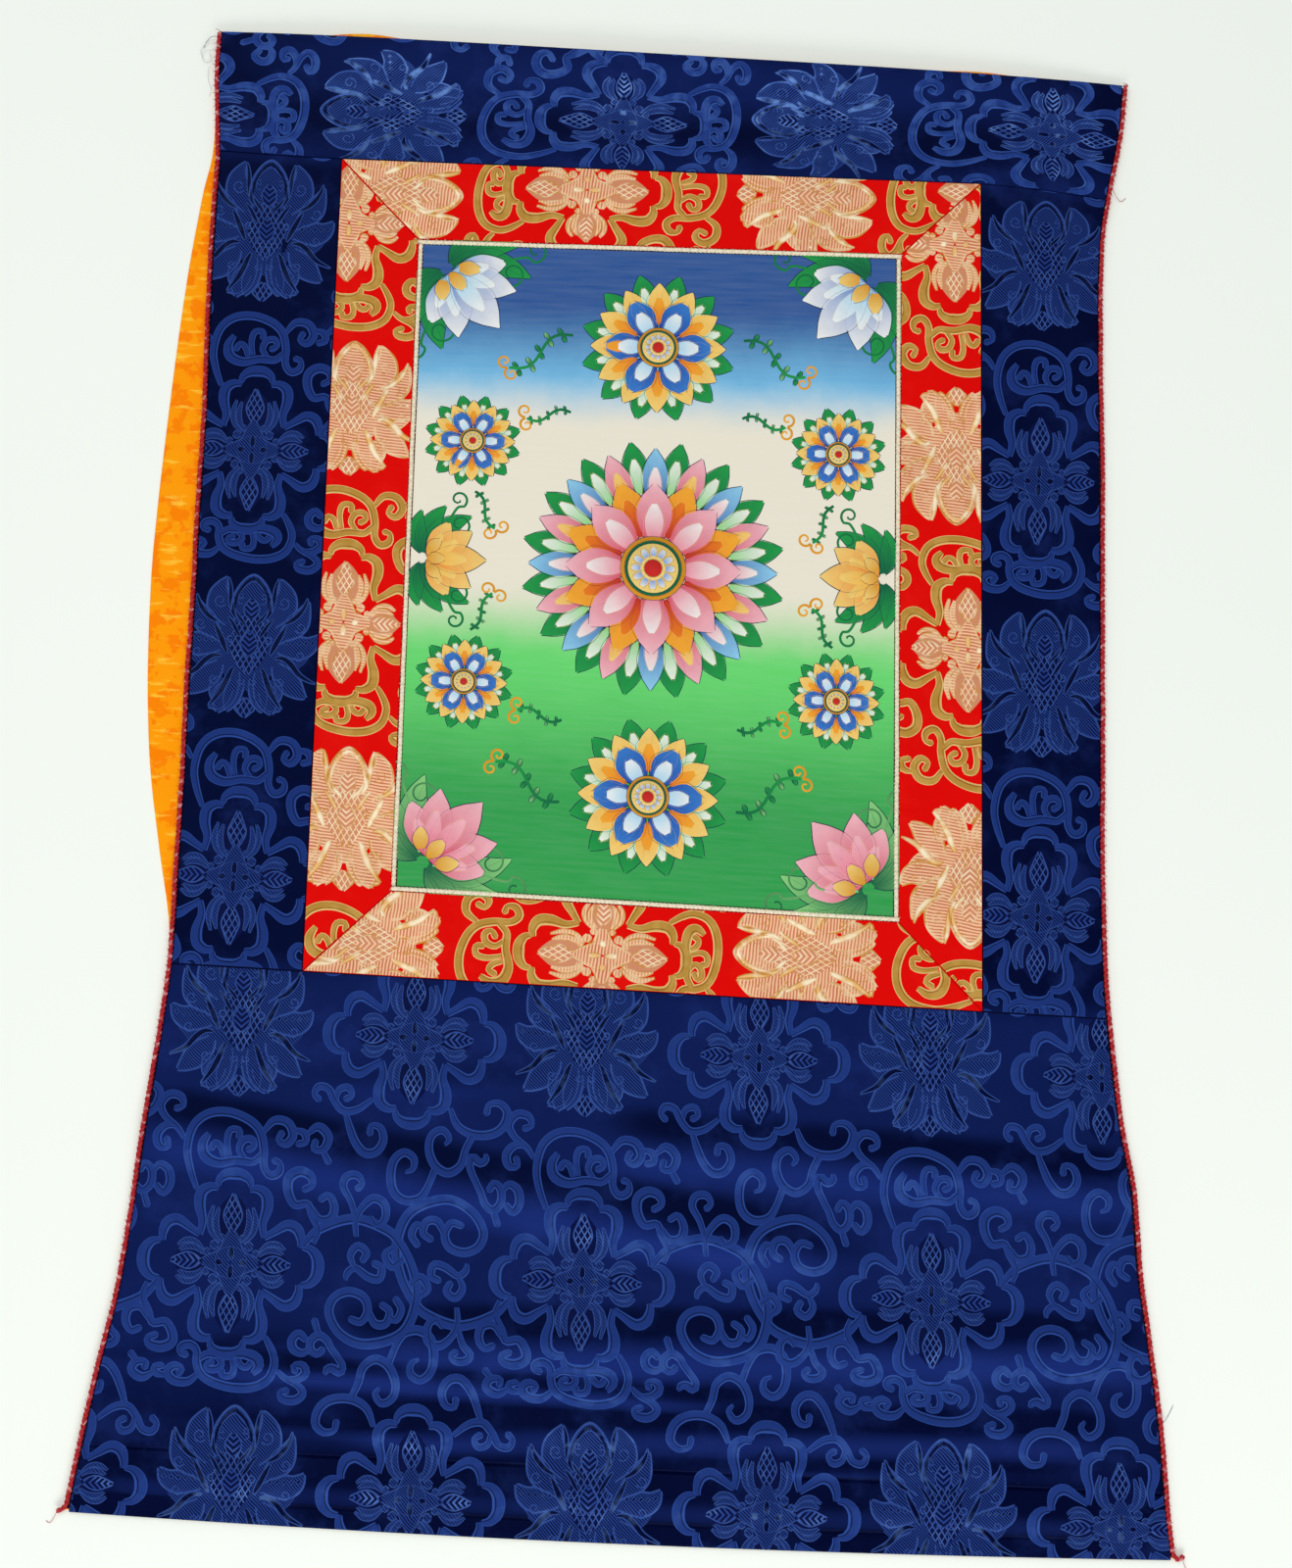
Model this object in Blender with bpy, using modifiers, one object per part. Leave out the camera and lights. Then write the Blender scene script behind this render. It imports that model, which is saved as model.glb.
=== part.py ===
# A small brocade-mounted scroll painting lying on a flat surface.
# Sheet places are given in millimetres from the middle of the painting, with u to the right and
# v towards the head. lie() then lays them on the surface: it leans and tilts the rows as the cloth
# really lies, and lifts the cloth where it is curled or rippled. Blender's own unit is the metre.

import math
from collections import namedtuple

import bmesh
import bpy
from mathutils import Vector

mm = 0.001

# ---- the cut sizes ----
painting_width = 300.0       # over the cord
painting_height = 410.6
frame_width = 50.0           # each red strip
head_edge = 330.5            # v of the head edge
foot_edge = -566.0           # v of the foot edge
hem_crease = -526.0          # v of the upper crease of the rod hem
rim_crease = -555.0          # v of the lower crease of the rod hem

# ---- thicknesses and clearances ----
lining_thick = 1.0
panel_thick = 1.5
canvas_thick = 1.5
strip_thick = 1.8
gap = 0.3
cord_diameter = 2.8
piping_diameter = 3.0
front_base = lining_thick + gap
lining_inset = 0.8           # at the head and foot edges

# ---- how the cloth lies ----
lean = 0.0083                # sideways shift of the rows for each mm down the scroll
curl_start = 283.0           # v where the head starts to lift
curl_height = 8.0
curl_shape = 4             # how squarely the lifted head drops to its corners
curl_corner = 0.15           # share of the lift that is left at the corners
curl_reached = 0.75          # share of the curl that is reached at the edge, still rising
curl_half_span = 290.0
foot_bow = 4.0               # rise of the foot corners over the middle of the foot edge
foot_bow_half = 300.0
shoulder_start = 200.0       # the rows droop or rise beyond this u
shoulder_span = 78.0
shoulder_shape = 1.5
shoulder_most = 1.2
painting_centre = Vector((-0.00075, 0.11638, 0.0))   # from the middle of the whole part

Slope = namedtuple("Slope", "v tilt left_lift right_lift")
slopes = [
    Slope(330.5, -0.0194, 0.0, 0.0),
    Slope(255.3, 0.0007, 2.4, -7.2),
    Slope(205.3, 0.0083, 1.0, -3.0),
    Slope(120.0, 0.0040, 0.0, 0.0),
    Slope(0.0, -0.0105, 0.0, 0.0),
    Slope(-100.0, -0.0210, 0.0, 0.0),
    Slope(-205.3, -0.0286, 0.0, 0.0),
    Slope(-255.3, -0.0268, 0.0, 0.0),
    Slope(-400.0, -0.0256, 0.0, 0.0),
    Slope(-480.0, -0.0190, 0.0, 0.0),
    Slope(-566.0, -0.0152, 0.0, 0.0),
]

# The long edges: where the navy cloth ends on each side, and where the lining ends on the left.
Edge = namedtuple("Edge", "v left right lining_left")
edges = [
    Edge(330.5, -279.0, 290.0, -281.0),
    Edge(300.0, -279.2, 287.0, -281.2),
    Edge(255.3, -275.8, 278.5, -280.5),
    Edge(228.0, -275.7, 275.0, -285.3),
    Edge(177.0, -276.0, 272.8, -291.5),
    Edge(101.0, -274.8, 272.6, -297.2),
    Edge(2.0, -275.0, 272.2, -302.2),
    Edge(-47.0, -275.0, 271.8, -302.2),
    Edge(-95.0, -275.4, 271.3, -300.3),
    Edge(-142.0, -275.3, 270.8, -295.9),
    Edge(-189.0, -275.5, 270.8, -287.9),
    Edge(-235.0, -275.6, 271.8, -279.4),
    Edge(-265.0, -277.0, 273.8, -279.5),
    Edge(-310.0, -281.1, 278.8, -283.6),
    Edge(-355.0, -285.8, 285.8, -288.3),
    Edge(-400.0, -290.4, 289.3, -292.9),
    Edge(-443.0, -295.5, 294.6, -298.0),
    Edge(-486.0, -304.0, 299.8, -306.5),
    Edge(-528.0, -311.0, 303.0, -313.5),
    Edge(-566.0, -316.2, 306.6, -318.7),
]

# Soft ridges across the foot: the v of the crest at the left and right end, the half width, the
# height, and the stretch of u over which the ridge stands.
Ridge = namedtuple("Ridge", "v_left v_right half_width height u_from u_to")
ridges = [
    Ridge(-350.0, -398.0, 26.0, 2.6, -262.0, 80.0),
    Ridge(-344.0, -352.0, 24.0, 2.2, 10.0, 270.0),
    Ridge(-462.0, -446.0, 24.0, 2.6, -140.0, 262.0),
    Ridge(-479.0, -486.0, 10.0, 1.3, -215.0, 30.0),
    Ridge(-508.0, -496.0, 16.0, 1.6, -130.0, 240.0),
    Ridge(-541.0, -541.0, 15.0, 1.1, -275.0, 270.0),
]
ridge_fade = 45.0            # length over which a ridge dies out at its ends
hem_groove = 3.0             # half width of the flat left along each crease

# Where the lining shows over the head edge: the middle, half length and reach of each sliver.
Sliver = namedtuple("Sliver", "u half_length reach")
slivers = [Sliver(-188.0, 42.0, 3.6), Sliver(198.0, 50.0, 2.6)]

# The piping's free tails at the foot: steps outward, down and up from its last point on the edge.
tail_start = 4.0             # above the foot edge
Tail = namedtuple("Tail", "out down up")
tail_left = [Tail(0.6, 2.0, 0.0), Tail(2.6, 4.4, -0.2), Tail(5.6, 5.4, -0.5)]
tail_right = [Tail(0.6, 2.4, 0.0), Tail(2.2, 4.8, -0.2), Tail(4.8, 5.0, -0.5), Tail(6.4, 3.0, -0.5)]

# ---- rows and columns of the sheets ----
head_rows = 8
side_rows = 12
foot_pitch = 9.0
hem_rows = 5
least_row = 2.0              # no row lies nearer than this to the groove of the hem
sheet_columns = 16
side_columns = 3
level_steps = 10
upright_steps = 12
canvas_columns = 8


def smooth(x):
    x = min(max(x, 0.0), 1.0)
    return x * x * (3.0 - 2.0 * x)


def mix(a, b, t):
    return a + (b - a) * t


# A column's value at v, on a smooth curve through the table's rows.
def along(rows, column, v):
    place = [row.v for row in rows]
    value = [getattr(row, column) for row in rows]
    v = min(max(v, place[-1]), place[0])
    last = len(rows) - 1
    i = next(k for k in range(last) if v >= place[k + 1])
    span = place[i + 1] - place[i]

    def steepness(k):
        low, high = max(k - 1, 0), min(k + 1, last)
        return (value[high] - value[low]) / (place[high] - place[low])

    t = (v - place[i]) / span
    return (
        value[i] * (1 + 2 * t) * (1 - t) ** 2
        + value[i + 1] * t * t * (3 - 2 * t)
        + steepness(i) * span * t * (1 - t) ** 2
        - steepness(i + 1) * span * t * t * (1 - t)
    )


def left_edge(v):
    return along(edges, "left", v)


def right_edge(v):
    return along(edges, "right", v)


def head_curl(u, v):
    spread = max(0.0, 1.0 - abs(u / curl_half_span) ** curl_shape)
    rise = smooth((v - curl_start) / (head_edge - curl_start) * curl_reached)
    return curl_height * mix(curl_corner, 1.0, spread) * rise


def ridge_height(ridge, u, v):
    part = (u - ridge.u_from) / (ridge.u_to - ridge.u_from)
    crest = mix(ridge.v_left, ridge.v_right, min(max(part, 0.0), 1.0))
    off_crest = min(abs(v - crest) / ridge.half_width, 1.0)
    ends = smooth((u - ridge.u_from) / ridge_fade + 1.0) * smooth((ridge.u_to - u) / ridge_fade + 1.0)
    return ridge.height * ends * 0.5 * (1.0 + math.cos(math.pi * off_crest))


# Height of the cloth's underside over the surface.
def drape(u, v):
    keep_hem_flat = smooth(abs(v - hem_crease) / hem_groove)
    ripples = sum(ridge_height(ridge, u, v) for ridge in ridges)
    return head_curl(u, v) + ripples * keep_hem_flat


# The point of the laid cloth for a place on the cut sheet, height above its underside.
def lie(u, v, height=0.0):
    tilt = along(slopes, "tilt", v)
    side = "right_lift" if u > 0 else "left_lift"
    past_frame = min(max((abs(u) - shoulder_start) / shoulder_span, 0.0), shoulder_most)
    shoulder = past_frame ** shoulder_shape
    bow = foot_bow * (u / foot_bow_half) ** 2 * smooth((hem_crease - v) / (hem_crease - foot_edge))
    x = u - lean * v
    y = v + tilt * u + along(slopes, side, v) * shoulder + bow
    return Vector((x, y, drape(u, v) + height)) * mm


def stations(start, end, count):
    return [mix(start, end, k / count) for k in range(count + 1)]


# Rows down the foot, with one on each crease of the rod hem.
def foot_stations(start, end):
    count = round((start - hem_crease) / foot_pitch)
    flat = stations(start, hem_crease, count)[:-1]
    groove = [hem_crease + hem_groove, hem_crease, hem_crease - hem_groove]
    hem = stations(hem_crease - hem_groove, rim_crease, hem_rows)[1:]
    return [v for v in flat if v > groove[0] + least_row] + groove + hem + [end]


def material(name, red, green, blue, roughness, metallic=0.0):
    made = bpy.data.materials.new(name)
    made.use_nodes = True
    shader = made.node_tree.nodes["Principled BSDF"]
    shader.inputs["Base Color"].default_value = (red, green, blue, 1.0)
    shader.inputs["Roughness"].default_value = roughness
    shader.inputs["Metallic"].default_value = metallic
    made.diffuse_color = (red, green, blue, 1.0)
    return made


def add_part(name, data, look):
    part = bpy.data.objects.new(name, data)
    data.materials.append(look)
    collection.objects.link(part)
    part.parent = origin
    return part


# A sheet of cloth. place(s, t) gives u and v for the steps across and down.
def sheet(name, place, across, down, base, thick, look):
    grid = bmesh.new()
    bmesh.ops.create_grid(grid, x_segments=len(across) - 1, y_segments=len(down) - 1, size=0.5)
    for vert in grid.verts:
        column = round((vert.co.x + 0.5) * (len(across) - 1))
        row = round((0.5 - vert.co.y) * (len(down) - 1))
        vert.co = lie(*place(across[column], down[row]), base)
    mesh = bpy.data.meshes.new(name)
    grid.to_mesh(mesh)
    grid.free()
    mesh.shade_smooth()
    part = add_part(name, mesh, look)
    solid = part.modifiers.new("thickness", "SOLIDIFY")
    solid.thickness = thick * mm
    solid.offset = 1.0
    return part


def tube(name, points, diameter, look):
    curve = bpy.data.curves.new(name, "CURVE")
    curve.dimensions = "3D"
    curve.bevel_depth = diameter * mm / 2
    curve.bevel_resolution = 2
    curve.use_fill_caps = True
    spline = curve.splines.new("POLY")
    spline.points.add(len(points) - 1)
    for place, point in zip(spline.points, points):
        place.co = (*point, 1.0)
    return add_part(name, curve, look)


def build_lining(look):
    def place(s, v):
        u = mix(along(edges, "lining_left", v), right_edge(v) + piping_diameter - gap, s)
        reach = 0.0
        if v > head_edge - 2 * lining_inset:
            for sliver in slivers:
                reach += sliver.reach * (1 - smooth(abs(u - sliver.u) / sliver.half_length))
        return u, v + reach

    head = stations(head_edge - lining_inset, half_frame_height, head_rows)
    sides = stations(half_frame_height, -half_frame_height, side_rows)
    foot = foot_stations(-half_frame_height, foot_edge + lining_inset)
    across = stations(0.0, 1.0, sheet_columns)
    sheet("lining", place, across, head + sides[1:] + foot[1:], 0.0, lining_thick, look)


def build_navy_panels(look):
    def full_width(s, v):
        return mix(left_edge(v), right_edge(v), s), v

    def left_side(s, v):
        return mix(left_edge(v), -half_frame_width - gap / 2, s), v

    def right_side(s, v):
        return mix(half_frame_width + gap / 2, right_edge(v), s), v

    across = stations(0.0, 1.0, sheet_columns)
    across_side = stations(0.0, 1.0, side_columns)
    seam = half_frame_height + gap / 2
    head = stations(head_edge, seam, head_rows)
    sides = stations(seam - gap, gap - seam, side_rows)
    foot = foot_stations(-seam, foot_edge)
    sheet("panel_head", full_width, across, head, front_base, panel_thick, look)
    sheet("panel_left", left_side, across_side, sides, front_base, panel_thick, look)
    sheet("panel_right", right_side, across_side, sides, front_base, panel_thick, look)
    sheet("panel_foot", full_width, across, foot, front_base, panel_thick, look)


# Four strips that meet on mitres running out from the painting's corners.
def build_frame_strips(look):
    mitre = half_painting_height - half_painting_width

    def level(s, v):
        reach = abs(v) - mitre - gap / 2
        return mix(-reach, reach, s), v

    def upright(u, t):
        reach = abs(u) + mitre - gap / 2
        return u, mix(reach, -reach, t)

    outer_v = half_frame_height - gap / 2
    inner_v = half_painting_height + gap / 2
    outer_u = half_frame_width - gap / 2
    inner_u = half_painting_width + gap / 2
    along_level = stations(0.0, 1.0, level_steps)
    along_upright = stations(0.0, 1.0, upright_steps)
    top = [outer_v, inner_v]
    bottom = [-inner_v, -outer_v]
    sheet("frame_strip_top", level, along_level, top, front_base, strip_thick, look)
    sheet("frame_strip_bottom", level, along_level, bottom, front_base, strip_thick, look)
    sheet("frame_strip_left", upright, [-outer_u, -inner_u], along_upright, front_base, strip_thick, look)
    sheet("frame_strip_right", upright, [inner_u, outer_u], along_upright, front_base, strip_thick, look)


def build_painting(look):
    edge_u = half_painting_width - cord_diameter - gap
    edge_v = half_painting_height - cord_diameter - gap

    def place(u, v):
        return u, v

    across = stations(-edge_u, edge_u, canvas_columns)
    down = stations(edge_v, -edge_v, level_steps)
    sheet("painting_canvas", place, across, down, front_base, canvas_thick, look)


# The cream cord round the painting: two long level runs with the uprights between them.
def build_cords(look):
    height = front_base + cord_diameter / 2
    u_line = half_painting_width - cord_diameter / 2
    v_line = half_painting_height - cord_diameter / 2
    upright_end = v_line - cord_diameter / 2 - gap
    for name, v in (("cord_top", v_line), ("cord_bottom", -v_line)):
        steps = stations(-half_painting_width, half_painting_width, level_steps)
        points = [lie(u, v, height) for u in steps]
        tube(name, points, cord_diameter, look)
    for name, u in (("cord_left", -u_line), ("cord_right", u_line)):
        steps = stations(upright_end, -upright_end, upright_steps)
        points = [lie(u, v, height) for v in steps]
        tube(name, points, cord_diameter, look)


def build_pipings(look):
    height = front_base + piping_diameter / 2
    clear = piping_diameter / 2 + gap
    head = stations(head_edge, half_frame_height, head_rows)
    sides = stations(half_frame_height, -half_frame_height, side_rows)
    foot = foot_stations(-half_frame_height, foot_edge + tail_start)
    rows = head + sides[1:] + foot[1:]
    runs = (
        ("piping_left", left_edge, -1, tail_left),
        ("piping_right", right_edge, 1, tail_right),
    )
    for name, edge, outward, tail in runs:
        points = [lie(edge(v) + outward * clear, v, height) for v in rows]
        end_u, end_v = edge(rows[-1]) + outward * clear, rows[-1]
        points += [lie(end_u + outward * t.out, end_v - t.down, height + t.up) for t in tail]
        tube(name, points, piping_diameter, look)


for old in list(bpy.data.objects):
    bpy.data.objects.remove(old, do_unlink=True)

collection = bpy.data.collections.new("scroll_painting")
bpy.context.scene.collection.children.link(collection)
origin = bpy.data.objects.new("scroll_origin", None)
origin.location = painting_centre
collection.objects.link(origin)

half_painting_width = painting_width / 2
half_painting_height = painting_height / 2
half_frame_width = half_painting_width + frame_width
half_frame_height = half_painting_height + frame_width

build_lining(material("lining_silk", 0.90, 0.36, 0.01, 0.55))
build_navy_panels(material("navy_brocade", 0.010, 0.022, 0.120, 0.45))
build_frame_strips(material("red_gold_brocade", 0.52, 0.05, 0.02, 0.45))
build_painting(material("painted_canvas", 0.30, 0.45, 0.50, 0.75))
build_cords(material("cream_cord", 0.80, 0.76, 0.60, 0.65))
build_pipings(material("red_piping", 0.42, 0.02, 0.03, 0.60))
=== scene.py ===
# A small brocade-mounted scroll painting, laid flat on a pale table and seen from above.
# Sheet places are in millimetres from the middle of the painting: u to the right, v to the head.
# lay() puts them on the table, so a pattern is drawn flat and then follows the cloth.

import math
from collections import namedtuple

import bmesh
import bpy
import numpy as np
from mathutils import Matrix, Vector


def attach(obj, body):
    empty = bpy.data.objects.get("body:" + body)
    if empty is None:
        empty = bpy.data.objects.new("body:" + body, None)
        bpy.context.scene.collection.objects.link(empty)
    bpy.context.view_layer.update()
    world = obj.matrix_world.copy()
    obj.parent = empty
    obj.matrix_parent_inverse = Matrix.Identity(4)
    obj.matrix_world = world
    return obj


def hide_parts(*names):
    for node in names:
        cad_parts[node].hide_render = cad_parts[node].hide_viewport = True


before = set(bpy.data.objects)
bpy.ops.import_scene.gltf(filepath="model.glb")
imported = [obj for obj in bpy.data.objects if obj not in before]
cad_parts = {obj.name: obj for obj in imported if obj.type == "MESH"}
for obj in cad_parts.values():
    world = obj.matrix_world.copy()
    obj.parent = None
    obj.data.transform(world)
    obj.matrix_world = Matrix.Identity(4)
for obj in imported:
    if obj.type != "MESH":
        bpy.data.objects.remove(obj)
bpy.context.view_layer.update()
mm = 0.001
print("frame loaded")

# Sizes of the cut cloth and how it lies, in mm, as in the solids.
paintingWidth = 300.0
paintingHeight = 410.6
frameWidth = 50.0
headEdge = 330.5
footEdge = -566.0
hemCrease = -526.0
rimCrease = -555.0
liningThick = 1.0
panelThick = 1.5
canvasThick = 1.5
stripThick = 1.8
gap = 0.3
cordDiameter = 2.8
pipingDiameter = 3.0
frontBase = liningThick + gap
liningInset = 0.8
lean = 0.0083
curlStart = 283.0
curlHeight = 8.0
curlShape = 4
curlCorner = 0.15
curlReached = 0.75
curlHalfSpan = 290.0
footBow = 4.0
footBowHalf = 300.0
shoulderStart = 200.0
shoulderSpan = 78.0
shoulderShape = 1.5
shoulderMost = 1.2
paintingCentre = (-0.00075, 0.11638, 0.0)  # from the middle of the whole part, in metres

Slope = namedtuple("Slope", "v tilt leftLift rightLift")
slopes = [
    Slope(330.5, -0.0194, 0.0, 0.0),
    Slope(255.3, 0.0007, 2.4, -7.2),
    Slope(205.3, 0.0083, 1.0, -3.0),
    Slope(120.0, 0.0040, 0.0, 0.0),
    Slope(0.0, -0.0105, 0.0, 0.0),
    Slope(-100.0, -0.0210, 0.0, 0.0),
    Slope(-205.3, -0.0286, 0.0, 0.0),
    Slope(-255.3, -0.0268, 0.0, 0.0),
    Slope(-400.0, -0.0256, 0.0, 0.0),
    Slope(-480.0, -0.0190, 0.0, 0.0),
    Slope(-566.0, -0.0152, 0.0, 0.0),
]

Edge = namedtuple("Edge", "v left right liningLeft")
edges = [
    Edge(330.5, -279.0, 290.0, -281.0),
    Edge(300.0, -279.2, 287.0, -281.2),
    Edge(255.3, -275.8, 278.5, -280.5),
    Edge(228.0, -275.7, 275.0, -285.3),
    Edge(177.0, -276.0, 272.8, -291.5),
    Edge(101.0, -274.8, 272.6, -297.2),
    Edge(2.0, -275.0, 272.2, -302.2),
    Edge(-47.0, -275.0, 271.8, -302.2),
    Edge(-95.0, -275.4, 271.3, -300.3),
    Edge(-142.0, -275.3, 270.8, -295.9),
    Edge(-189.0, -275.5, 270.8, -287.9),
    Edge(-235.0, -275.6, 271.8, -279.4),
    Edge(-265.0, -277.0, 273.8, -279.5),
    Edge(-310.0, -281.1, 278.8, -283.6),
    Edge(-355.0, -285.8, 285.8, -288.3),
    Edge(-400.0, -290.4, 289.3, -292.9),
    Edge(-443.0, -295.5, 294.6, -298.0),
    Edge(-486.0, -304.0, 299.8, -306.5),
    Edge(-528.0, -311.0, 303.0, -313.5),
    Edge(-566.0, -316.2, 306.6, -318.7),
]

# Soft ridges across the foot, by the v of the crest at each end of the stretch of u.
Ridge = namedtuple("Ridge", "vLeft vRight halfWidth height uFrom uTo")
ridges = [
    Ridge(-350.0, -398.0, 26.0, 2.6, -262.0, 80.0),
    Ridge(-344.0, -352.0, 24.0, 2.2, 10.0, 270.0),
    Ridge(-462.0, -446.0, 24.0, 2.6, -140.0, 262.0),
    Ridge(-479.0, -486.0, 10.0, 1.3, -215.0, 30.0),
    Ridge(-508.0, -496.0, 16.0, 1.6, -130.0, 240.0),
    Ridge(-541.0, -541.0, 15.0, 1.1, -275.0, 270.0),
]
ridgeFade = 45.0
hemGroove = 3.0

Sliver = namedtuple("Sliver", "u halfLength reach")
slivers = [Sliver(-188.0, 42.0, 3.6), Sliver(198.0, 50.0, 2.6)]
sliverFade = 0.01  # they are gone this share of the way down the lining

tailStart = 4.0
Tail = namedtuple("Tail", "out down up")
tailLeft = [Tail(0.6, 2.0, 0.0), Tail(2.6, 4.4, -0.2), Tail(5.6, 5.4, -0.5)]
tailRight = [Tail(0.6, 2.4, 0.0), Tail(2.2, 4.8, -0.2), Tail(4.8, 5.0, -0.5), Tail(6.4, 3.0, -0.5)]

# Shallow puckers that only the finished cloth shows: middle, heading in degrees, half length,
# half width and height.
Pucker = namedtuple("Pucker", "u v heading halfLength halfWidth height")
puckers = [
    Pucker(262.0, -398.0, 62.0, 42.0, 8.0, 0.7),
    Pucker(270.0, -436.0, 118.0, 34.0, 7.0, 0.6),
    Pucker(-240.0, -472.0, 8.0, 60.0, 7.0, 0.5),
    Pucker(60.0, -398.0, 176.0, 90.0, 11.0, 0.6),
    Pucker(-120.0, -316.0, 4.0, 80.0, 9.0, 0.5),
    Pucker(140.0, -520.0, 2.0, 90.0, 5.0, 0.4),
    Pucker(-160.0, -512.0, 178.0, 90.0, 5.0, 0.4),
    Pucker(-235.0, 150.0, 86.0, 60.0, 9.0, 0.4),
    Pucker(-236.0, -110.0, 3.0, 34.0, 8.0, 0.5),
    Pucker(236.0, 120.0, 94.0, 70.0, 9.0, 0.4),
    Pucker(232.0, -150.0, 176.0, 34.0, 8.0, 0.5),
]

halfPaintingWidth = paintingWidth / 2
halfPaintingHeight = paintingHeight / 2
halfFrameWidth = halfPaintingWidth + frameWidth
halfFrameHeight = halfPaintingHeight + frameWidth
mitre = halfPaintingHeight - halfPaintingWidth
quarters = [(-1, -1), (-1, 1), (1, -1), (1, 1)]  # the signs of u and v in each


def smooth(x):
    x = np.clip(x, 0.0, 1.0)
    return x * x * (3.0 - 2.0 * x)


def mix(a, b, t):
    return a + (b - a) * t


# A column's value at v, on a smooth curve through the table's rows.
def along(rows, column, v):
    place = np.array([row.v for row in rows])[::-1]
    value = np.array([getattr(row, column) for row in rows])[::-1]
    steep = np.empty_like(value)
    steep[1:-1] = (value[2:] - value[:-2]) / (place[2:] - place[:-2])
    steep[0] = (value[1] - value[0]) / (place[1] - place[0])
    steep[-1] = (value[-1] - value[-2]) / (place[-1] - place[-2])
    v = np.clip(v, place[0], place[-1])
    i = np.clip(np.searchsorted(place, v, side="right") - 1, 0, len(place) - 2)
    span = place[i + 1] - place[i]
    t = (v - place[i]) / span
    return (
        value[i] * (1 + 2 * t) * (1 - t) ** 2
        + value[i + 1] * t * t * (3 - 2 * t)
        + steep[i] * span * t * (1 - t) ** 2
        - steep[i + 1] * span * t * t * (1 - t)
    )


def leftEdge(v):
    return along(edges, "left", v)


def rightEdge(v):
    return along(edges, "right", v)


def headCurl(u, v):
    spread = np.maximum(0.0, 1.0 - np.abs(u / curlHalfSpan) ** curlShape)
    rise = smooth((v - curlStart) / (headEdge - curlStart) * curlReached)
    return curlHeight * mix(curlCorner, 1.0, spread) * rise


def ridgeHeight(ridge, u, v):
    part = np.clip((u - ridge.uFrom) / (ridge.uTo - ridge.uFrom), 0.0, 1.0)
    crest = mix(ridge.vLeft, ridge.vRight, part)
    offCrest = np.minimum(np.abs(v - crest) / ridge.halfWidth, 1.0)
    ends = smooth((u - ridge.uFrom) / ridgeFade + 1.0) * smooth((ridge.uTo - u) / ridgeFade + 1.0)
    return ridge.height * ends * 0.5 * (1.0 + np.cos(math.pi * offCrest))


def puckerHeight(pucker, u, v):
    turn = math.radians(pucker.heading)
    du, dv = u - pucker.u, v - pucker.v
    lengthwise = (du * math.cos(turn) + dv * math.sin(turn)) / pucker.halfLength
    crosswise = (dv * math.cos(turn) - du * math.sin(turn)) / pucker.halfWidth
    return pucker.height * np.exp(-1.5 * lengthwise**2 - 1.5 * crosswise**2)


# Height of the cloth's underside over the table.
def drape(u, v):
    keepHemFlat = smooth(np.abs(v - hemCrease) / hemGroove)
    ripples = sum(ridgeHeight(ridge, u, v) for ridge in ridges)
    ripples = ripples + sum(puckerHeight(pucker, u, v) for pucker in puckers)
    return headCurl(u, v) + ripples * keepHemFlat


# The points of the laid cloth, in metres, height above its underside.
def lay(u, v, height):
    u, v, height = np.broadcast_arrays(np.asarray(u, float), np.asarray(v, float), height)
    tilt = along(slopes, "tilt", v)
    lift = np.where(u > 0, along(slopes, "rightLift", v), along(slopes, "leftLift", v))
    pastFrame = np.clip((np.abs(u) - shoulderStart) / shoulderSpan, 0.0, shoulderMost)
    bow = footBow * (u / footBowHalf) ** 2 * smooth((hemCrease - v) / (hemCrease - footEdge))
    x = u - lean * v
    y = v + tilt * u + lift * pastFrame**shoulderShape + bow
    return np.stack([x, y, drape(u, v) + height], axis=-1) * mm + np.array(paintingCentre)


def shadeSmooth(piece):
    piece.data.polygons.foreach_set("use_smooth", [True] * len(piece.data.polygons))


def newPiece(name, points, faces, looks):
    mesh = bpy.data.meshes.new(name)
    mesh.from_pydata(np.asarray(points).tolist(), [], [list(map(int, face)) for face in faces])
    for look in looks:
        mesh.materials.append(look)
    piece = bpy.data.objects.new(name, mesh)
    shadeSmooth(piece)
    mesh.update()
    bpy.context.scene.collection.objects.link(piece)
    return piece


def storePoints(piece, name, kind, values):
    field = {"FLOAT": "value", "FLOAT_VECTOR": "vector", "FLOAT_COLOR": "color"}[kind]
    layer = piece.data.attributes.new(name, kind, "POINT")
    layer.data.foreach_set(field, np.asarray(values, np.float32).ravel())


def storeCloth(piece, flat):
    corners = np.empty(len(piece.data.loops), np.int32)
    piece.data.loops.foreach_get("vertex_index", corners)
    layer = piece.data.uv_layers.new(name="cloth")
    layer.data.foreach_set("uv", np.asarray(flat, np.float32)[corners].ravel())


def finishPiece(piece):
    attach(piece, "root")
    return piece


# A finished piece that takes the place of the node of its name.
def finishNode(piece, name):
    finishPiece(piece)
    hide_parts(name)


def newGroup(kind, name, inputs, outputs):
    tree = bpy.data.node_groups.new(name, kind)
    for label, socketKind, *value in inputs:
        socket = tree.interface.new_socket(label, in_out="INPUT", socket_type=f"NodeSocket{socketKind}")
        if value:
            socket.default_value = value[0]
    for label, socketKind in outputs:
        tree.interface.new_socket(label, in_out="OUTPUT", socket_type=f"NodeSocket{socketKind}")
    return tree, tree.nodes.new("NodeGroupInput").outputs, tree.nodes.new("NodeGroupOutput").inputs


def newTree(name, *inputs):
    geometry = ("Geometry", "Geometry")
    return newGroup("GeometryNodeTree", name, (geometry, *inputs), [geometry])


def addNode(tree, kind, settings=None, **links):
    node = tree.nodes.new(kind)
    for key, value in (settings or {}).items():
        setattr(node, key, value)
    for label, source in links.items():
        plug(tree, node.inputs[label.replace("_", " ")], source)
    return node


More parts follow.
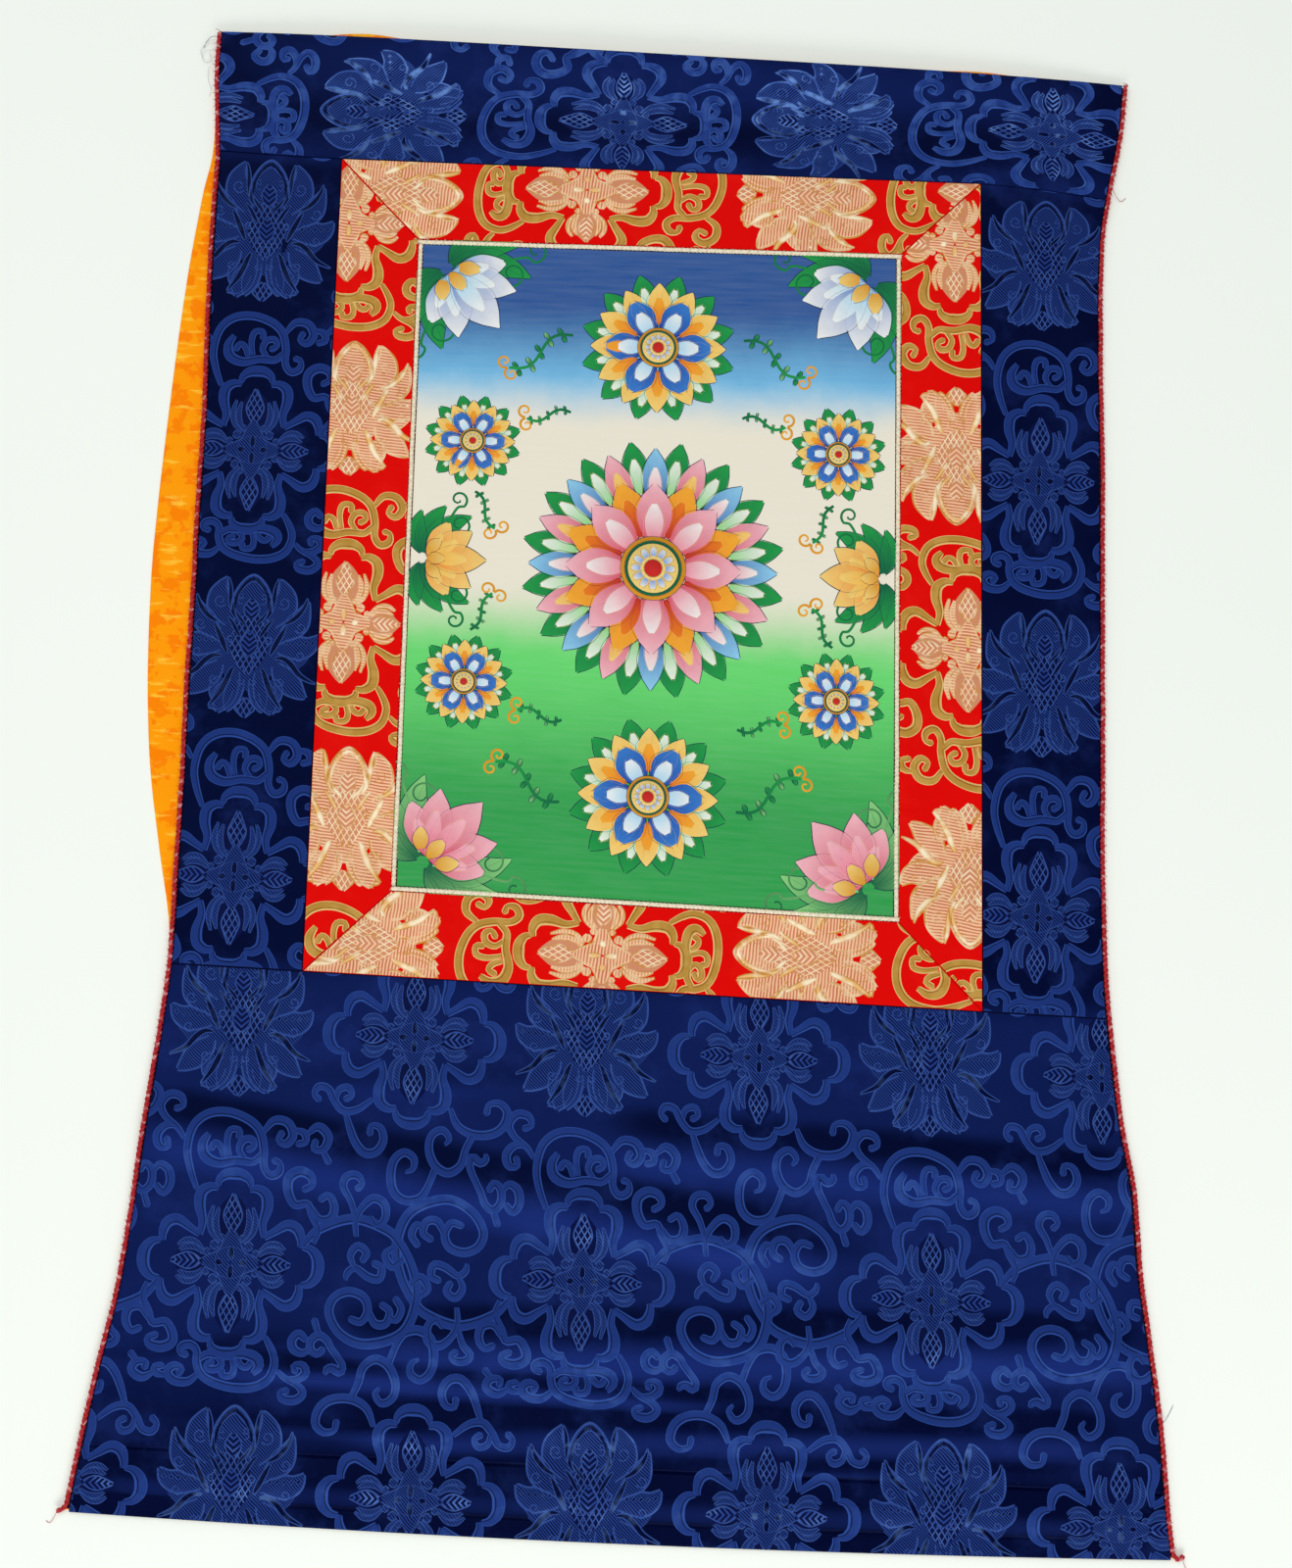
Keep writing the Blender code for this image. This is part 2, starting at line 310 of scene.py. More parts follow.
def plug(tree, socket, source):
    if isinstance(source, bpy.types.NodeSocket):
        tree.links.new(source, socket)
    else:
        socket.default_value = source


# A node of maths: sources in the order of its inputs, links by their names.
def operate(tree, kind, operation, sources, **links):
    node = addNode(tree, kind, {"operation": operation}, **links)
    for socket, source in zip(node.inputs, sources):
        plug(tree, socket, source)
    return node.outputs[0]


def maths(tree, operation, *sources):
    return operate(tree, "ShaderNodeMath", operation, sources)


def vectorMaths(tree, operation, *sources, **links):
    return operate(tree, "ShaderNodeVectorMath", operation, sources, **links)


def times(tree, first, second):
    return maths(tree, "MULTIPLY", first, second)


def plus(tree, first, second):
    return maths(tree, "ADD", first, second)


def minus(tree, first, second):
    return maths(tree, "SUBTRACT", first, second)


def scaled(tree, value, scale, shift):
    return maths(tree, "MULTIPLY_ADD", value, scale, shift)


# Runs a tree on a piece and keeps the result as a plain mesh.
def growMesh(piece, tree, values):
    grown = piece.modifiers.new("grow", "NODES")
    grown.node_group = tree
    for item in tree.interface.items_tree:
        if item.item_type == "SOCKET" and item.in_out == "INPUT" and item.name in values:
            grown[item.identifier] = values[item.name]
    depsgraph = bpy.context.evaluated_depsgraph_get()
    depsgraph.update()
    mesh = bpy.data.meshes.new_from_object(piece.evaluated_get(depsgraph))
    mesh.name = name = piece.name
    bpy.data.objects.remove(piece, do_unlink=True)
    result = bpy.data.objects.new(name, mesh)
    bpy.context.scene.collection.objects.link(result)
    return result


# The polyline that a tree is given, as a curve with points a step apart.
def evenCurve(tree, geometry, step):
    line = addNode(tree, "GeometryNodeMeshToCurve", Mesh=geometry)
    return addNode(tree, "GeometryNodeResampleCurve", {"mode": "LENGTH"}, Curve=line.outputs[0], Length=step)


# Ends a tree: its instances made real, in one look.
def dressed(tree, geometry, look, take):
    whole = addNode(tree, "GeometryNodeRealizeInstances", Geometry=geometry)
    looked = addNode(tree, "GeometryNodeSetMaterial", Geometry=whole.outputs[0], Material=look)
    plug(tree, take[0], looked.outputs[0])
    return tree


# A profile swept along a curve, its ends closed.
def sweep(tree, curve, sides, radius):
    profile = addNode(tree, "GeometryNodeCurvePrimitiveCircle", Resolution=sides, Radius=radius)
    tube = addNode(tree, "GeometryNodeCurveToMesh", Curve=curve, Profile_Curve=profile.outputs[0])
    tube.inputs["Fill Caps"].default_value = True
    return tube.outputs[0]


def keepValue(tree, geometry, name, value):
    kept = addNode(
        tree, "GeometryNodeStoreNamedAttribute", {"data_type": "FLOAT", "domain": "POINT"},
        Geometry=geometry, Name=name, Value=value,
    )
    return kept.outputs[0]


# A woven repeat, set out over as many places as a cut of cloth needs.
def makeRepeatTree():
    tree, give, take = newTree(
        "repeatFigures", ("Across", "Int"), ("Down", "Int"), ("Pitch across", "Float"),
        ("Pitch down", "Float"), ("Skew", "Float"), ("Scroll look", "Material"),
        ("Flower look", "Material"),
    )
    grid = addNode(tree, "GeometryNodeMeshGrid", Vertices_X=give["Across"], Vertices_Y=give["Down"])
    across = minus(tree, give["Across"], 1.0)
    down = minus(tree, give["Down"], 1.0)
    plug(tree, grid.inputs["Size X"], times(tree, across, give["Pitch across"]))
    plug(tree, grid.inputs["Size Y"], times(tree, down, give["Pitch down"]))
    place = addNode(tree, "GeometryNodeInputPosition")
    split = addNode(tree, "ShaderNodeSeparateXYZ", Vector=place.outputs[0])
    shift = addNode(tree, "ShaderNodeCombineXYZ")
    plug(tree, shift.inputs["X"], times(tree, split.outputs["Y"], give["Skew"]))
    skewed = addNode(tree, "GeometryNodeSetPosition", Geometry=grid.outputs["Mesh"], Offset=shift.outputs[0])
    spread = addNode(
        tree, "GeometryNodeInstanceOnPoints", Points=skewed.outputs[0], Instance=give["Geometry"]
    )
    whole = addNode(tree, "GeometryNodeRealizeInstances", Geometry=spread.outputs[0])
    isFlower = addNode(tree, "GeometryNodeInputNamedAttribute", {"data_type": "FLOAT"}, Name="flower")
    scrolls = addNode(
        tree, "GeometryNodeSetMaterial", Geometry=whole.outputs[0], Material=give["Scroll look"]
    )
    flowers = addNode(
        tree, "GeometryNodeSetMaterial", Geometry=scrolls.outputs[0],
        Selection=maths(tree, "GREATER_THAN", isFlower.outputs[0], 0.5), Material=give["Flower look"],
    )
    plug(tree, take[0], flowers.outputs[0])
    return tree


# Twisted yarn round the polyline of a piece: each ply winds round the middle line.
def makeTwistTree(plies, sides):
    tree, give, take = newTree(
        f"twist{plies}Plies", ("Step", "Float"), ("Ply radius", "Float"), ("Lay radius", "Float"),
        ("Turn length", "Float"), ("Look", "Material"),
    )
    line = evenCurve(tree, give["Geometry"], give["Step"])
    length = addNode(tree, "GeometryNodeSplineParameter").outputs["Length"]
    kept = keepValue(tree, line.outputs[0], "lengthwise", length)
    tangent = addNode(tree, "GeometryNodeInputTangent").outputs[0]
    normal = addNode(tree, "GeometryNodeInputNormal").outputs[0]
    sideways = vectorMaths(tree, "CROSS_PRODUCT", tangent, normal)
    turn = times(tree, maths(tree, "DIVIDE", length, give["Turn length"]), 2 * math.pi)
    joined = addNode(tree, "GeometryNodeJoinGeometry")
    for k in range(plies):
        phase = plus(tree, turn, 2 * math.pi * k / plies)
        out = vectorMaths(tree, "SCALE", normal, Scale=maths(tree, "COSINE", phase))
        side = vectorMaths(tree, "SCALE", sideways, Scale=maths(tree, "SINE", phase))
        aside = vectorMaths(tree, "ADD", out, side)
        offset = vectorMaths(tree, "SCALE", aside, Scale=give["Lay radius"])
        wound = addNode(tree, "GeometryNodeSetPosition", Geometry=kept, Offset=offset)
        tree.links.new(sweep(tree, wound.outputs[0], sides, give["Ply radius"]), joined.inputs[0])
    return dressed(tree, joined.outputs[0], give["Look"], take)


stitchScale = (0.8, 1.15)


# Short hand stitches across the polyline of a piece, each a bent bit of thread.
def makeStitchTree():
    tree, give, take = newTree(
        "handStitches", ("Pitch", "Float"), ("Reach", "Float"), ("Rise", "Float"), ("Slant", "Float"),
        ("Thread radius", "Float"), ("Seed", "Int"), ("Look", "Material"),
    )
    line = evenCurve(tree, give["Geometry"], give["Pitch"])
    halfReach = times(tree, give["Reach"], 0.5)
    start = addNode(tree, "ShaderNodeCombineXYZ", Y=times(tree, halfReach, -1.0))
    peak = addNode(tree, "ShaderNodeCombineXYZ", Z=times(tree, give["Rise"], 2.0))
    end = addNode(tree, "ShaderNodeCombineXYZ", Y=halfReach)
    plug(tree, start.inputs["X"], times(tree, give["Slant"], -0.5))
    plug(tree, end.inputs["X"], times(tree, give["Slant"], 0.5))
    bow = addNode(
        tree, "GeometryNodeCurveQuadraticBezier", Resolution=5, Start=start.outputs[0],
        Middle=peak.outputs[0], End=end.outputs[0],
    )
    stitch = sweep(tree, bow.outputs[0], 5, give["Thread radius"])
    tangent = addNode(tree, "GeometryNodeInputTangent").outputs[0]
    turned = addNode(
        tree, "FunctionNodeAlignRotationToVector", {"axis": "X", "pivot_axis": "Z"}, Vector=tangent
    )
    size = addNode(tree, "FunctionNodeRandomValue", {"data_type": "FLOAT"}, Seed=give["Seed"])
    size.inputs[2].default_value, size.inputs[3].default_value = stitchScale
    spread = addNode(
        tree, "GeometryNodeInstanceOnPoints", Points=line.outputs[0], Instance=stitch,
        Rotation=turned.outputs[0], Scale=size.outputs[1],
    )
    return dressed(tree, spread.outputs[0], give["Look"], take)


repeatTree = makeRepeatTree()
twoPlyTree = makeTwistTree(2, 8)
threePlyTree = makeTwistTree(3, 7)
stitchTree = makeStitchTree()


# A piece that is only a polyline, for a tree to follow.
def polyline(name, points):
    mesh = bpy.data.meshes.new(name)
    mesh.from_pydata(np.asarray(points).tolist(), [(k, k + 1) for k in range(len(points) - 1)], [])
    piece = bpy.data.objects.new(name, mesh)
    bpy.context.scene.collection.objects.link(piece)
    return piece


print("helpers and node trees ready")


# A drawing gathers thin ribbons in flat cloth millimetres. A ribbon is a row of cross sections
# whose edges dip under the cloth. kind says how it is woven.
kinds = {"fill": 0.0, "back": 0.12, "lattice": 0.25, "blade": 0.5, "chevron": 0.75, "line": 1.0}
ribbonRails = [(-1.0, 0.0), (-0.74, 1.0), (0.74, 1.0), (1.0, 0.0)]
broadRails = [(-1.0, 0.0), (-0.86, 1.0), (-0.3, 1.0), (0.3, 1.0), (0.86, 1.0), (1.0, 0.0)]
fineRails = [(-1.0, 0.0), (0.0, 1.0), (1.0, 0.0)]
sunk = 0.05
betweenPoints = 8  # how many pieces a smooth path is first cut into between two points
leastWidth, fineWidth, broadWidth = 0.05, 0.8, 3.9  # half widths: a broader ribbon has more rails
liftStep, liftTurn = 0.0037, 0.03  # ribbons lie at slightly different heights, so none share a surface


def newDrawing():
    return {"points": [], "height": [], "faces": [], "rim": [], "kind": [], "flower": [],
            "colour": [], "count": 0, "lift": 0.0}


def lengthAlong(middle):
    return np.concatenate([[0.0], np.cumsum(np.hypot(*np.diff(middle, axis=0).T))])


# The unit step to the left of each point of a path.
def leftOf(middle):
    heading = np.gradient(middle, axis=0)
    heading /= np.maximum(np.hypot(*heading.T), 1e-9)[:, None]
    return np.stack([-heading[:, 1], heading[:, 0]], axis=1)


# A smooth path through a few points, a step apart. Columns past x and y are carried along.
def smoothPath(points, step):
    points = np.array(points, float)
    if len(points) > 2:
        before = np.vstack([2 * points[0] - points[1], points])
        row = np.vstack([before, 2 * points[-1] - points[-2]])
        t = np.linspace(0.0, 1.0, betweenPoints + 1)[:-1, None]
        spans = [
            0.5 * (2 * b + (c - a) * t + (2 * a - 5 * b + 4 * c - d) * t**2
                   + (3 * b - a - 3 * c + d) * t**3)
            for a, b, c, d in zip(row, row[1:], row[2:], row[3:])
        ]
        points = np.vstack(spans + [points[-1:]])
    length = lengthAlong(points[:, :2])
    count = max(2, math.ceil(length[-1] / step))
    at = np.linspace(0.0, length[-1], count + 1)
    return np.stack([np.interp(at, length, column) for column in points.T], axis=1)


def addStroke(drawing, points, kind, height=0.2, flower=False, step=1.6, colours=None):
    path = smoothPath(points, step)
    middle, halfWidth = path[:, :2], np.maximum(path[:, 2], leastWidth)
    left = leftOf(middle)
    widest = halfWidth.max()
    rails = fineRails if widest < fineWidth else ribbonRails if widest < broadWidth else broadRails
    count, across = len(path), len(rails)
    drawing["lift"] = (drawing["lift"] + liftStep) % liftTurn
    length = lengthAlong(middle)
    ends = np.ones(count)
    ends[[0, -1]] = 0.0
    share = np.linspace(0.0, 1.0, count)[:, None]
    for offset, raised in rails:
        side = halfWidth * offset
        drawing["points"].append(middle + left * side[:, None])
        drawing["height"].append(np.where(ends * raised > 0, height + drawing["lift"], -sunk))
        drawing["rim"].append(np.stack([halfWidth - side, halfWidth + side, length], axis=1))
        first, last = colours if colours else ((0, 0, 0), (0, 0, 0))
        drawing["colour"].append(np.array(first) * (1 - share) + np.array(last) * share)
    start = drawing["count"]
    for rail in range(across - 1):
        for k in range(count - 1):
            a = start + rail * count + k
            drawing["faces"].append((a, a + 1, a + count + 1, a + count))
    drawing["kind"].append(np.full(count * across, kinds[kind]))
    drawing["flower"].append(np.full(count * across, float(flower)))
    drawing["count"] += count * across


# The same points shifted, and turned or mirrored, with what was on the right kept there.
def moved(points, x=0.0, y=0.0, flipX=1, flipY=1):
    rows = [(flipX * p[0] + x, flipY * p[1] + y, *p[2:]) for p in points]
    return rows[::-1] if flipX * flipY < 0 else rows


# The ribbon's inner side is on its right, so a curl that winds to the left is run backwards.
def curlInwards(points):
    p = np.array(points, float)
    x, y = p[:, 0], p[:, 1]
    winding = np.sum(x * np.roll(y, -1) - y * np.roll(x, -1))
    return list(points)[::-1] if winding > 0 else list(points)


spiralSet = {"tighten": 0.82, "thin": 0.35}


def spiral(x, y, radius, start, turns, width, points=11):
    rows = []
    for k in range(points):
        t = k / (points - 1)
        angle = math.radians(start) + 2 * math.pi * turns * t
        r = radius * (1 - spiralSet["tighten"] * t)
        halfWidth = width * (1 - spiralSet["thin"] * t)
        rows.append((x + r * math.cos(angle), y + r * math.sin(angle), halfWidth))
    return rows


def bothSides(points):
    return [points, moved(points, flipX=-1)]


halfTurns = [(1, 1), (-1, -1)]
allFlips = [(1, 1), (1, -1), (-1, 1), (-1, -1)]


def edgesOf(points, width, step=1.6):
    path = smoothPath(points, step)
    left = leftOf(path[:, :2]) * path[:, 2:3]
    return [[(x, y, width) for x, y in path[:, :2] + left * side] for side in (1, -1)]


def archOf(half):
    return half + [(-x, y, width) for x, y, width in half[-2::-1]]


# The eight-lobed frame round each crossed flower: x, y and half width in mm.
frameArcs = {
    "topArch": archOf([(-9.5, 43.5, 1.5), (-8.7, 47.5, 2.4), (-4.8, 50.6, 3.4), (0, 51.3, 3.8)]),
    "sideArch": [(40.2, 10.8, 1.6), (45.3, 9.8, 2.7), (49.0, 5.5, 3.5), (50.0, 0, 3.8),
                 (49.0, -5.5, 3.5), (45.3, -9.8, 2.7), (40.2, -10.8, 1.6)],
    "shoulder": [(8.6, 42.2, 1.6), (13.5, 43.0, 2.8), (18.5, 39.5, 3.5), (19.3, 32, 3.4),
                 (17.2, 23, 2.4), (18.7, 14.6, 1.9)],
    "sideLobe": [(18.2, 14.9, 1.9), (24.3, 18.8, 2.4), (31.5, 23.0, 3.3), (37.3, 20.8, 3.4),
                 (39.6, 14.5, 2.5), (39.0, 10.2, 1.6)],
}

# A woven shape: its kind, height, the half width of the line round it and its middle line. A rim
# of None leaves it a plain ribbon.
Shape = namedtuple("Shape", "kind height rim points")


def allLike(kind, height, rim, *rows):
    return [Shape(kind, height, rim, row) for row in rows]


# The crossed flower: shapes drawn again half a turn round, then shapes drawn four ways.
turnedShapes = [
    *allLike(
        "back", 0.05, 0,
        [(0, 10, 3.5), (0, 16, 8.0), (0, 23, 10.4), (0, 30, 8.8), (0, 36, 4.6), (0, 40, 0.6)],
        [(12, 0, 3.0), (17, 0, 7.2), (22.5, 0, 9.4), (28, 0, 7.6), (32, 0, 3.4), (34.5, 0, 0.5)],
    ),
    *allLike(
        "fill", 0.1, 0.35,
        [(0, 0, 9.4), (0, 6, 7.6), (0, 11, 5.4), (0, 15, 3.6), (0, 19.5, 1.0)],
        [(0, 0, 9.4), (5.5, 0, 7.6), (10, 0, 5.2), (14, 0, 3.4), (17.5, 0, 1.0)],
    ),
    Shape("lattice", 0.12, 0.7, [(0, 17, 0.5), (0, 21, 3.3), (0, 27, 5.4), (0, 33, 3.5), (0, 40, 0.4)]),
    Shape("chevron", 0.12, 0.7, [(16.6, 0, 0.5), (20.5, 0, 3.5), (25, 0, 4.8), (30, 0, 2.9),
                                 (34.5, 0, 0.4)]),
    *allLike(
        "blade", 0.2, 0.35,
        [(0, 1.0, 0.3), (0, 3.2, 1.4), (0, 5.4, 1.6), (0, 7.6, 1.3), (0, 10.0, 0.3)],
        [(4.4, 0, 0.3), (5.6, 0, 1.7), (6.9, 0, 2.0), (8.2, 0, 1.4), (9.4, 0, 0.3)],
    ),
]
fourWayShapes = [
    *allLike(
        "fill", 0.16, 0.4,
        [(4.4, 11.5, 0.6), (8.2, 16.5, 1.5), (9.6, 23.5, 1.6), (8.0, 31.5, 0.5)],
        [(6.4, 11.0, 0.5), (11.6, 16.5, 1.2), (13.2, 24.0, 1.3), (11.2, 32.5, 0.5)],
        [(15.2, 3.8, 0.6), (19.6, 7.4, 1.5), (25.2, 8.0, 1.6), (30.0, 5.4, 0.5)],
        [(15.6, 6.2, 0.5), (20.6, 11.0, 1.2), (26.2, 11.6, 1.3), (31.0, 8.4, 0.5)],
    ),
    *[
        Shape("fill", 0.18, 0.4, [(x - r, y, 0.3), (x - r / 2, y, r * 0.8), (x, y, r),
                                  (x + r / 2, y, r * 0.8), (x + r, y, 0.3)])
        for x, y, r in ((14.0, 5.5, 2.2), (9.8, 9.6, 2.7), (5.9, 14.0, 2.0))
    ],
]


# The lotus, from the bottom layer up. Shapes off its middle line are drawn on both sides.
dome = archOf([(-12.3, 30, 0.5), (-12.0, 37, 0.7), (-9.8, 44, 0.7), (-5.5, 50.3, 0.7), (0, 53.6, 0.8)])
lotusShapes = [
    Shape("fill", 0.05, 0, [(0, -13, 8.0), (0, -8, 14.0), (0, -2, 19.0), (0, 6, 24.0), (0, 16, 26.0),
                            (0, 26, 22.0), (0, 34, 15.0), (0, 42, 9.0), (0, 48, 3.0)]),
    Shape("fill", 0.05, 0, [(14, -2, 4.0), (22, 2, 8.0), (30, 8, 8.0), (37, 14, 3.0)]),
    *allLike(
        "fill", 0.09, 0.7,
        [(11.4, -14, 4.6), (14.2, -20, 5.6), (16.8, -25, 4.2), (22.2, -27.4, 0.5)],
        [(5.0, -10, 4.0), (6.6, -16, 5.0), (8.4, -22, 4.8), (10.0, -27, 2.6), (11.2, -30, 0.5)],
    ),
    *allLike(
        "fill", 0.12, 0,
        [(0, 29, 8.5), (0, 35, 11.2), (0, 42, 10.2), (0, 48, 7.0), (0, 53.2, 0.6)],
        [(0, -3, 5.6), (0, -7, 8.2), (0, -12, 7.0), (0, -15.6, 3.0), (0, -17.4, 0.4)],
    ),
    *allLike(
        "fill", 0.12, 0.7,
        [(16, 0, 2.0), (20.2, -5.6, 5.6), (26.4, -12, 6.6), (31.8, -16.8, 3.8), (36.2, -19.8, 0.5)],
        [(14.6, -9, 2.0), (17.4, -14.4, 4.2), (19.0, -19.6, 2.4), (18.6, -24, 0.4)],
        [(6.4, -4, 1.6), (8.2, -11, 4.4), (11.4, -18.4, 6.4), (14.4, -25, 5.2), (16.4, -31, 0.6)],
        [(16, 9, 2.0), (23, 9.4, 5.0), (30, 10.2, 6.9), (36.4, 12.8, 5.0), (41.2, 18.6, 0.4)],
        [(19, 16.5, 2.6), (24.4, 20.5, 5.8), (28.6, 26, 6.6), (31.6, 31.8, 4.0), (34.0, 39.4, 0.4)],
        [(12.5, 22, 2.0), (15.0, 28, 5.8), (18.6, 34.5, 8.2), (20.0, 41, 6.2), (18.4, 47, 3.0),
         (15.4, 51.8, 0.4)],
    ),
    Shape("line", 0.24, None, dome),
    Shape("line", 0.24, None, archOf([(-4.6, 36.5, 0.5), (-7.2, 35.4, 0.6), (-8.6, 38.6, 0.6),
                                      (-6.6, 44, 0.6), (0, 49.4, 0.7)])),
    Shape("blade", 0.2, None, [(x * 0.87, y - 2.4, 0.9) for x, y, _ in dome]),
    Shape("lattice", 0.16, 0, [(0, -6, 3.0), (0, 1, 9.0), (0, 10, 12.5), (0, 20, 10.5), (0, 28, 6.5),
                               (0, 34, 1.0)]),
    *allLike(
        "chevron", 0.2, 0.7,
        [(0, 24.6, 0.4), (0, 28.6, 3.4), (0, 32.8, 4.8), (0, 36.6, 2.9), (0, 39.8, 0.4)],
        [(0, 2.6, 0.4), (0, 7, 3.6), (0, 11.2, 5.4), (0, 15.8, 3.2), (0, 20.4, 0.4)],
    ),
    *allLike(
        "lattice", 0.2, 0.7,
        [(0, -20.6, 0.5), (0, -24.4, 3.4), (0, -27.2, 6.2), (0, -30.2, 3.6), (0, -33.2, 0.4)],
        [(0, -8.2, 0.4), (0, -4.4, 2.2), (0, -0.6, 3.0), (0, 2.2, 0.5)],
    ),
    *allLike(
        "blade", 0.22, 0.5,
        [(8.4, 25.5, 0.3), (11.4, 31, 1.1), (12.9, 38, 1.3), (13.6, 46, 0.9), (15.3, 52, 0.3)],
        [(18.6, 23.6, 0.4), (24, 26.4, 1.2), (28.6, 30.6, 1.4), (31.6, 35.4, 1.0), (33.4, 41.0, 0.3)],
        [(12.6, 4.4, 0.4), (15.2, 10.4, 1.5), (18.6, 17.4, 1.4), (22.0, 23.9, 0.3)],
        [(5.2, 14.6, 0.3), (8.0, 19, 1.1), (10.8, 23.6, 0.9), (14.4, 27.8, 0.3)],
        [(8.0, -2.6, 0.4), (9.8, -5.4, 1.2), (12.2, -11.6, 1.6), (15.4, -18.4, 1.5), (21.8, -27.6, 0.3)],
        [(15.4, 3.2, 0.4), (20.6, 3.6, 1.3), (25.8, 0.2, 1.6), (31.4, -6.2, 1.4), (41.2, -11.0, 0.3)],
        [(2.6, 21.5, 0.3), (4.6, 24.6, 0.9), (7.0, 27.2, 0.8), (9.8, 31.5, 0.3)],
    ),
    *[
        Shape("blade", 0.18, 0.35, [(x, y, 0.3), (x - 1.2, y - 1.6, 0.9), (x - 3.0, y - 3.4, 0.3)])
        for x, y in ((39.2, 15.4), (35.2, 15.0), (31.2, 14.8), (27.2, 14.8), (23.2, 14.6))
    ],
]
lotusSpirals = [
    (19.0, 37.0, 4.2, 210), (29.8, 22.6, 3.6, 200), (30.4, 5.6, 3.4, 190), (4.6, 5.4, 3.0, 180),
    (11.2, 14.2, 2.8, 200), (19.8, -10.6, 3.4, 150), (3.8, -11.4, 2.6, 120), (6.8, 40.6, 2.2, 200),
]


def drawFrame(drawing, x, y):
    for flips, names in ((halfTurns, ("topArch", "sideArch")), (allFlips, ("shoulder", "sideLobe"))):
        for flip in flips:
            for name in names:
                addStroke(drawing, moved(frameArcs[name], x, y, *flip), "line", 0.22)


def drawShape(drawing, shape, points, x, y):
    if shape.rim is None:
        addStroke(drawing, moved(points, x, y), shape.kind, shape.height, flower=True)
        return
    addStroke(drawing, moved(points, x, y), shape.kind, shape.height, flower=True, step=2.4)
    if shape.rim:
        for edge in edgesOf(points, shape.rim):
            addStroke(drawing, moved(edge, x, y), "line", shape.height + 0.1, flower=True, step=1.8)


def drawCross(drawing, x, y):
    for flip in halfTurns:
        for shape in turnedShapes:
            drawShape(drawing, shape, moved(shape.points, 0, 0, *flip), x, y)
    for shape in fourWayShapes:
        for flip in allFlips:
            drawShape(drawing, shape, moved(shape.points, 0, 0, *flip), x, y)


def drawLotus(drawing, x, y):
    for shape in lotusShapes:
        centred = any(point[0] == 0 for point in shape.points)
        for points in [shape.points] if centred else bothSides(shape.points):
            drawShape(drawing, shape, points, x, y)
    for *place, start in lotusSpirals:
        for points in bothSides(spiral(*place, start, 1.35, 0.7)):
            addStroke(drawing, moved(points, x, y), "line", 0.26, flower=True, step=1.2)


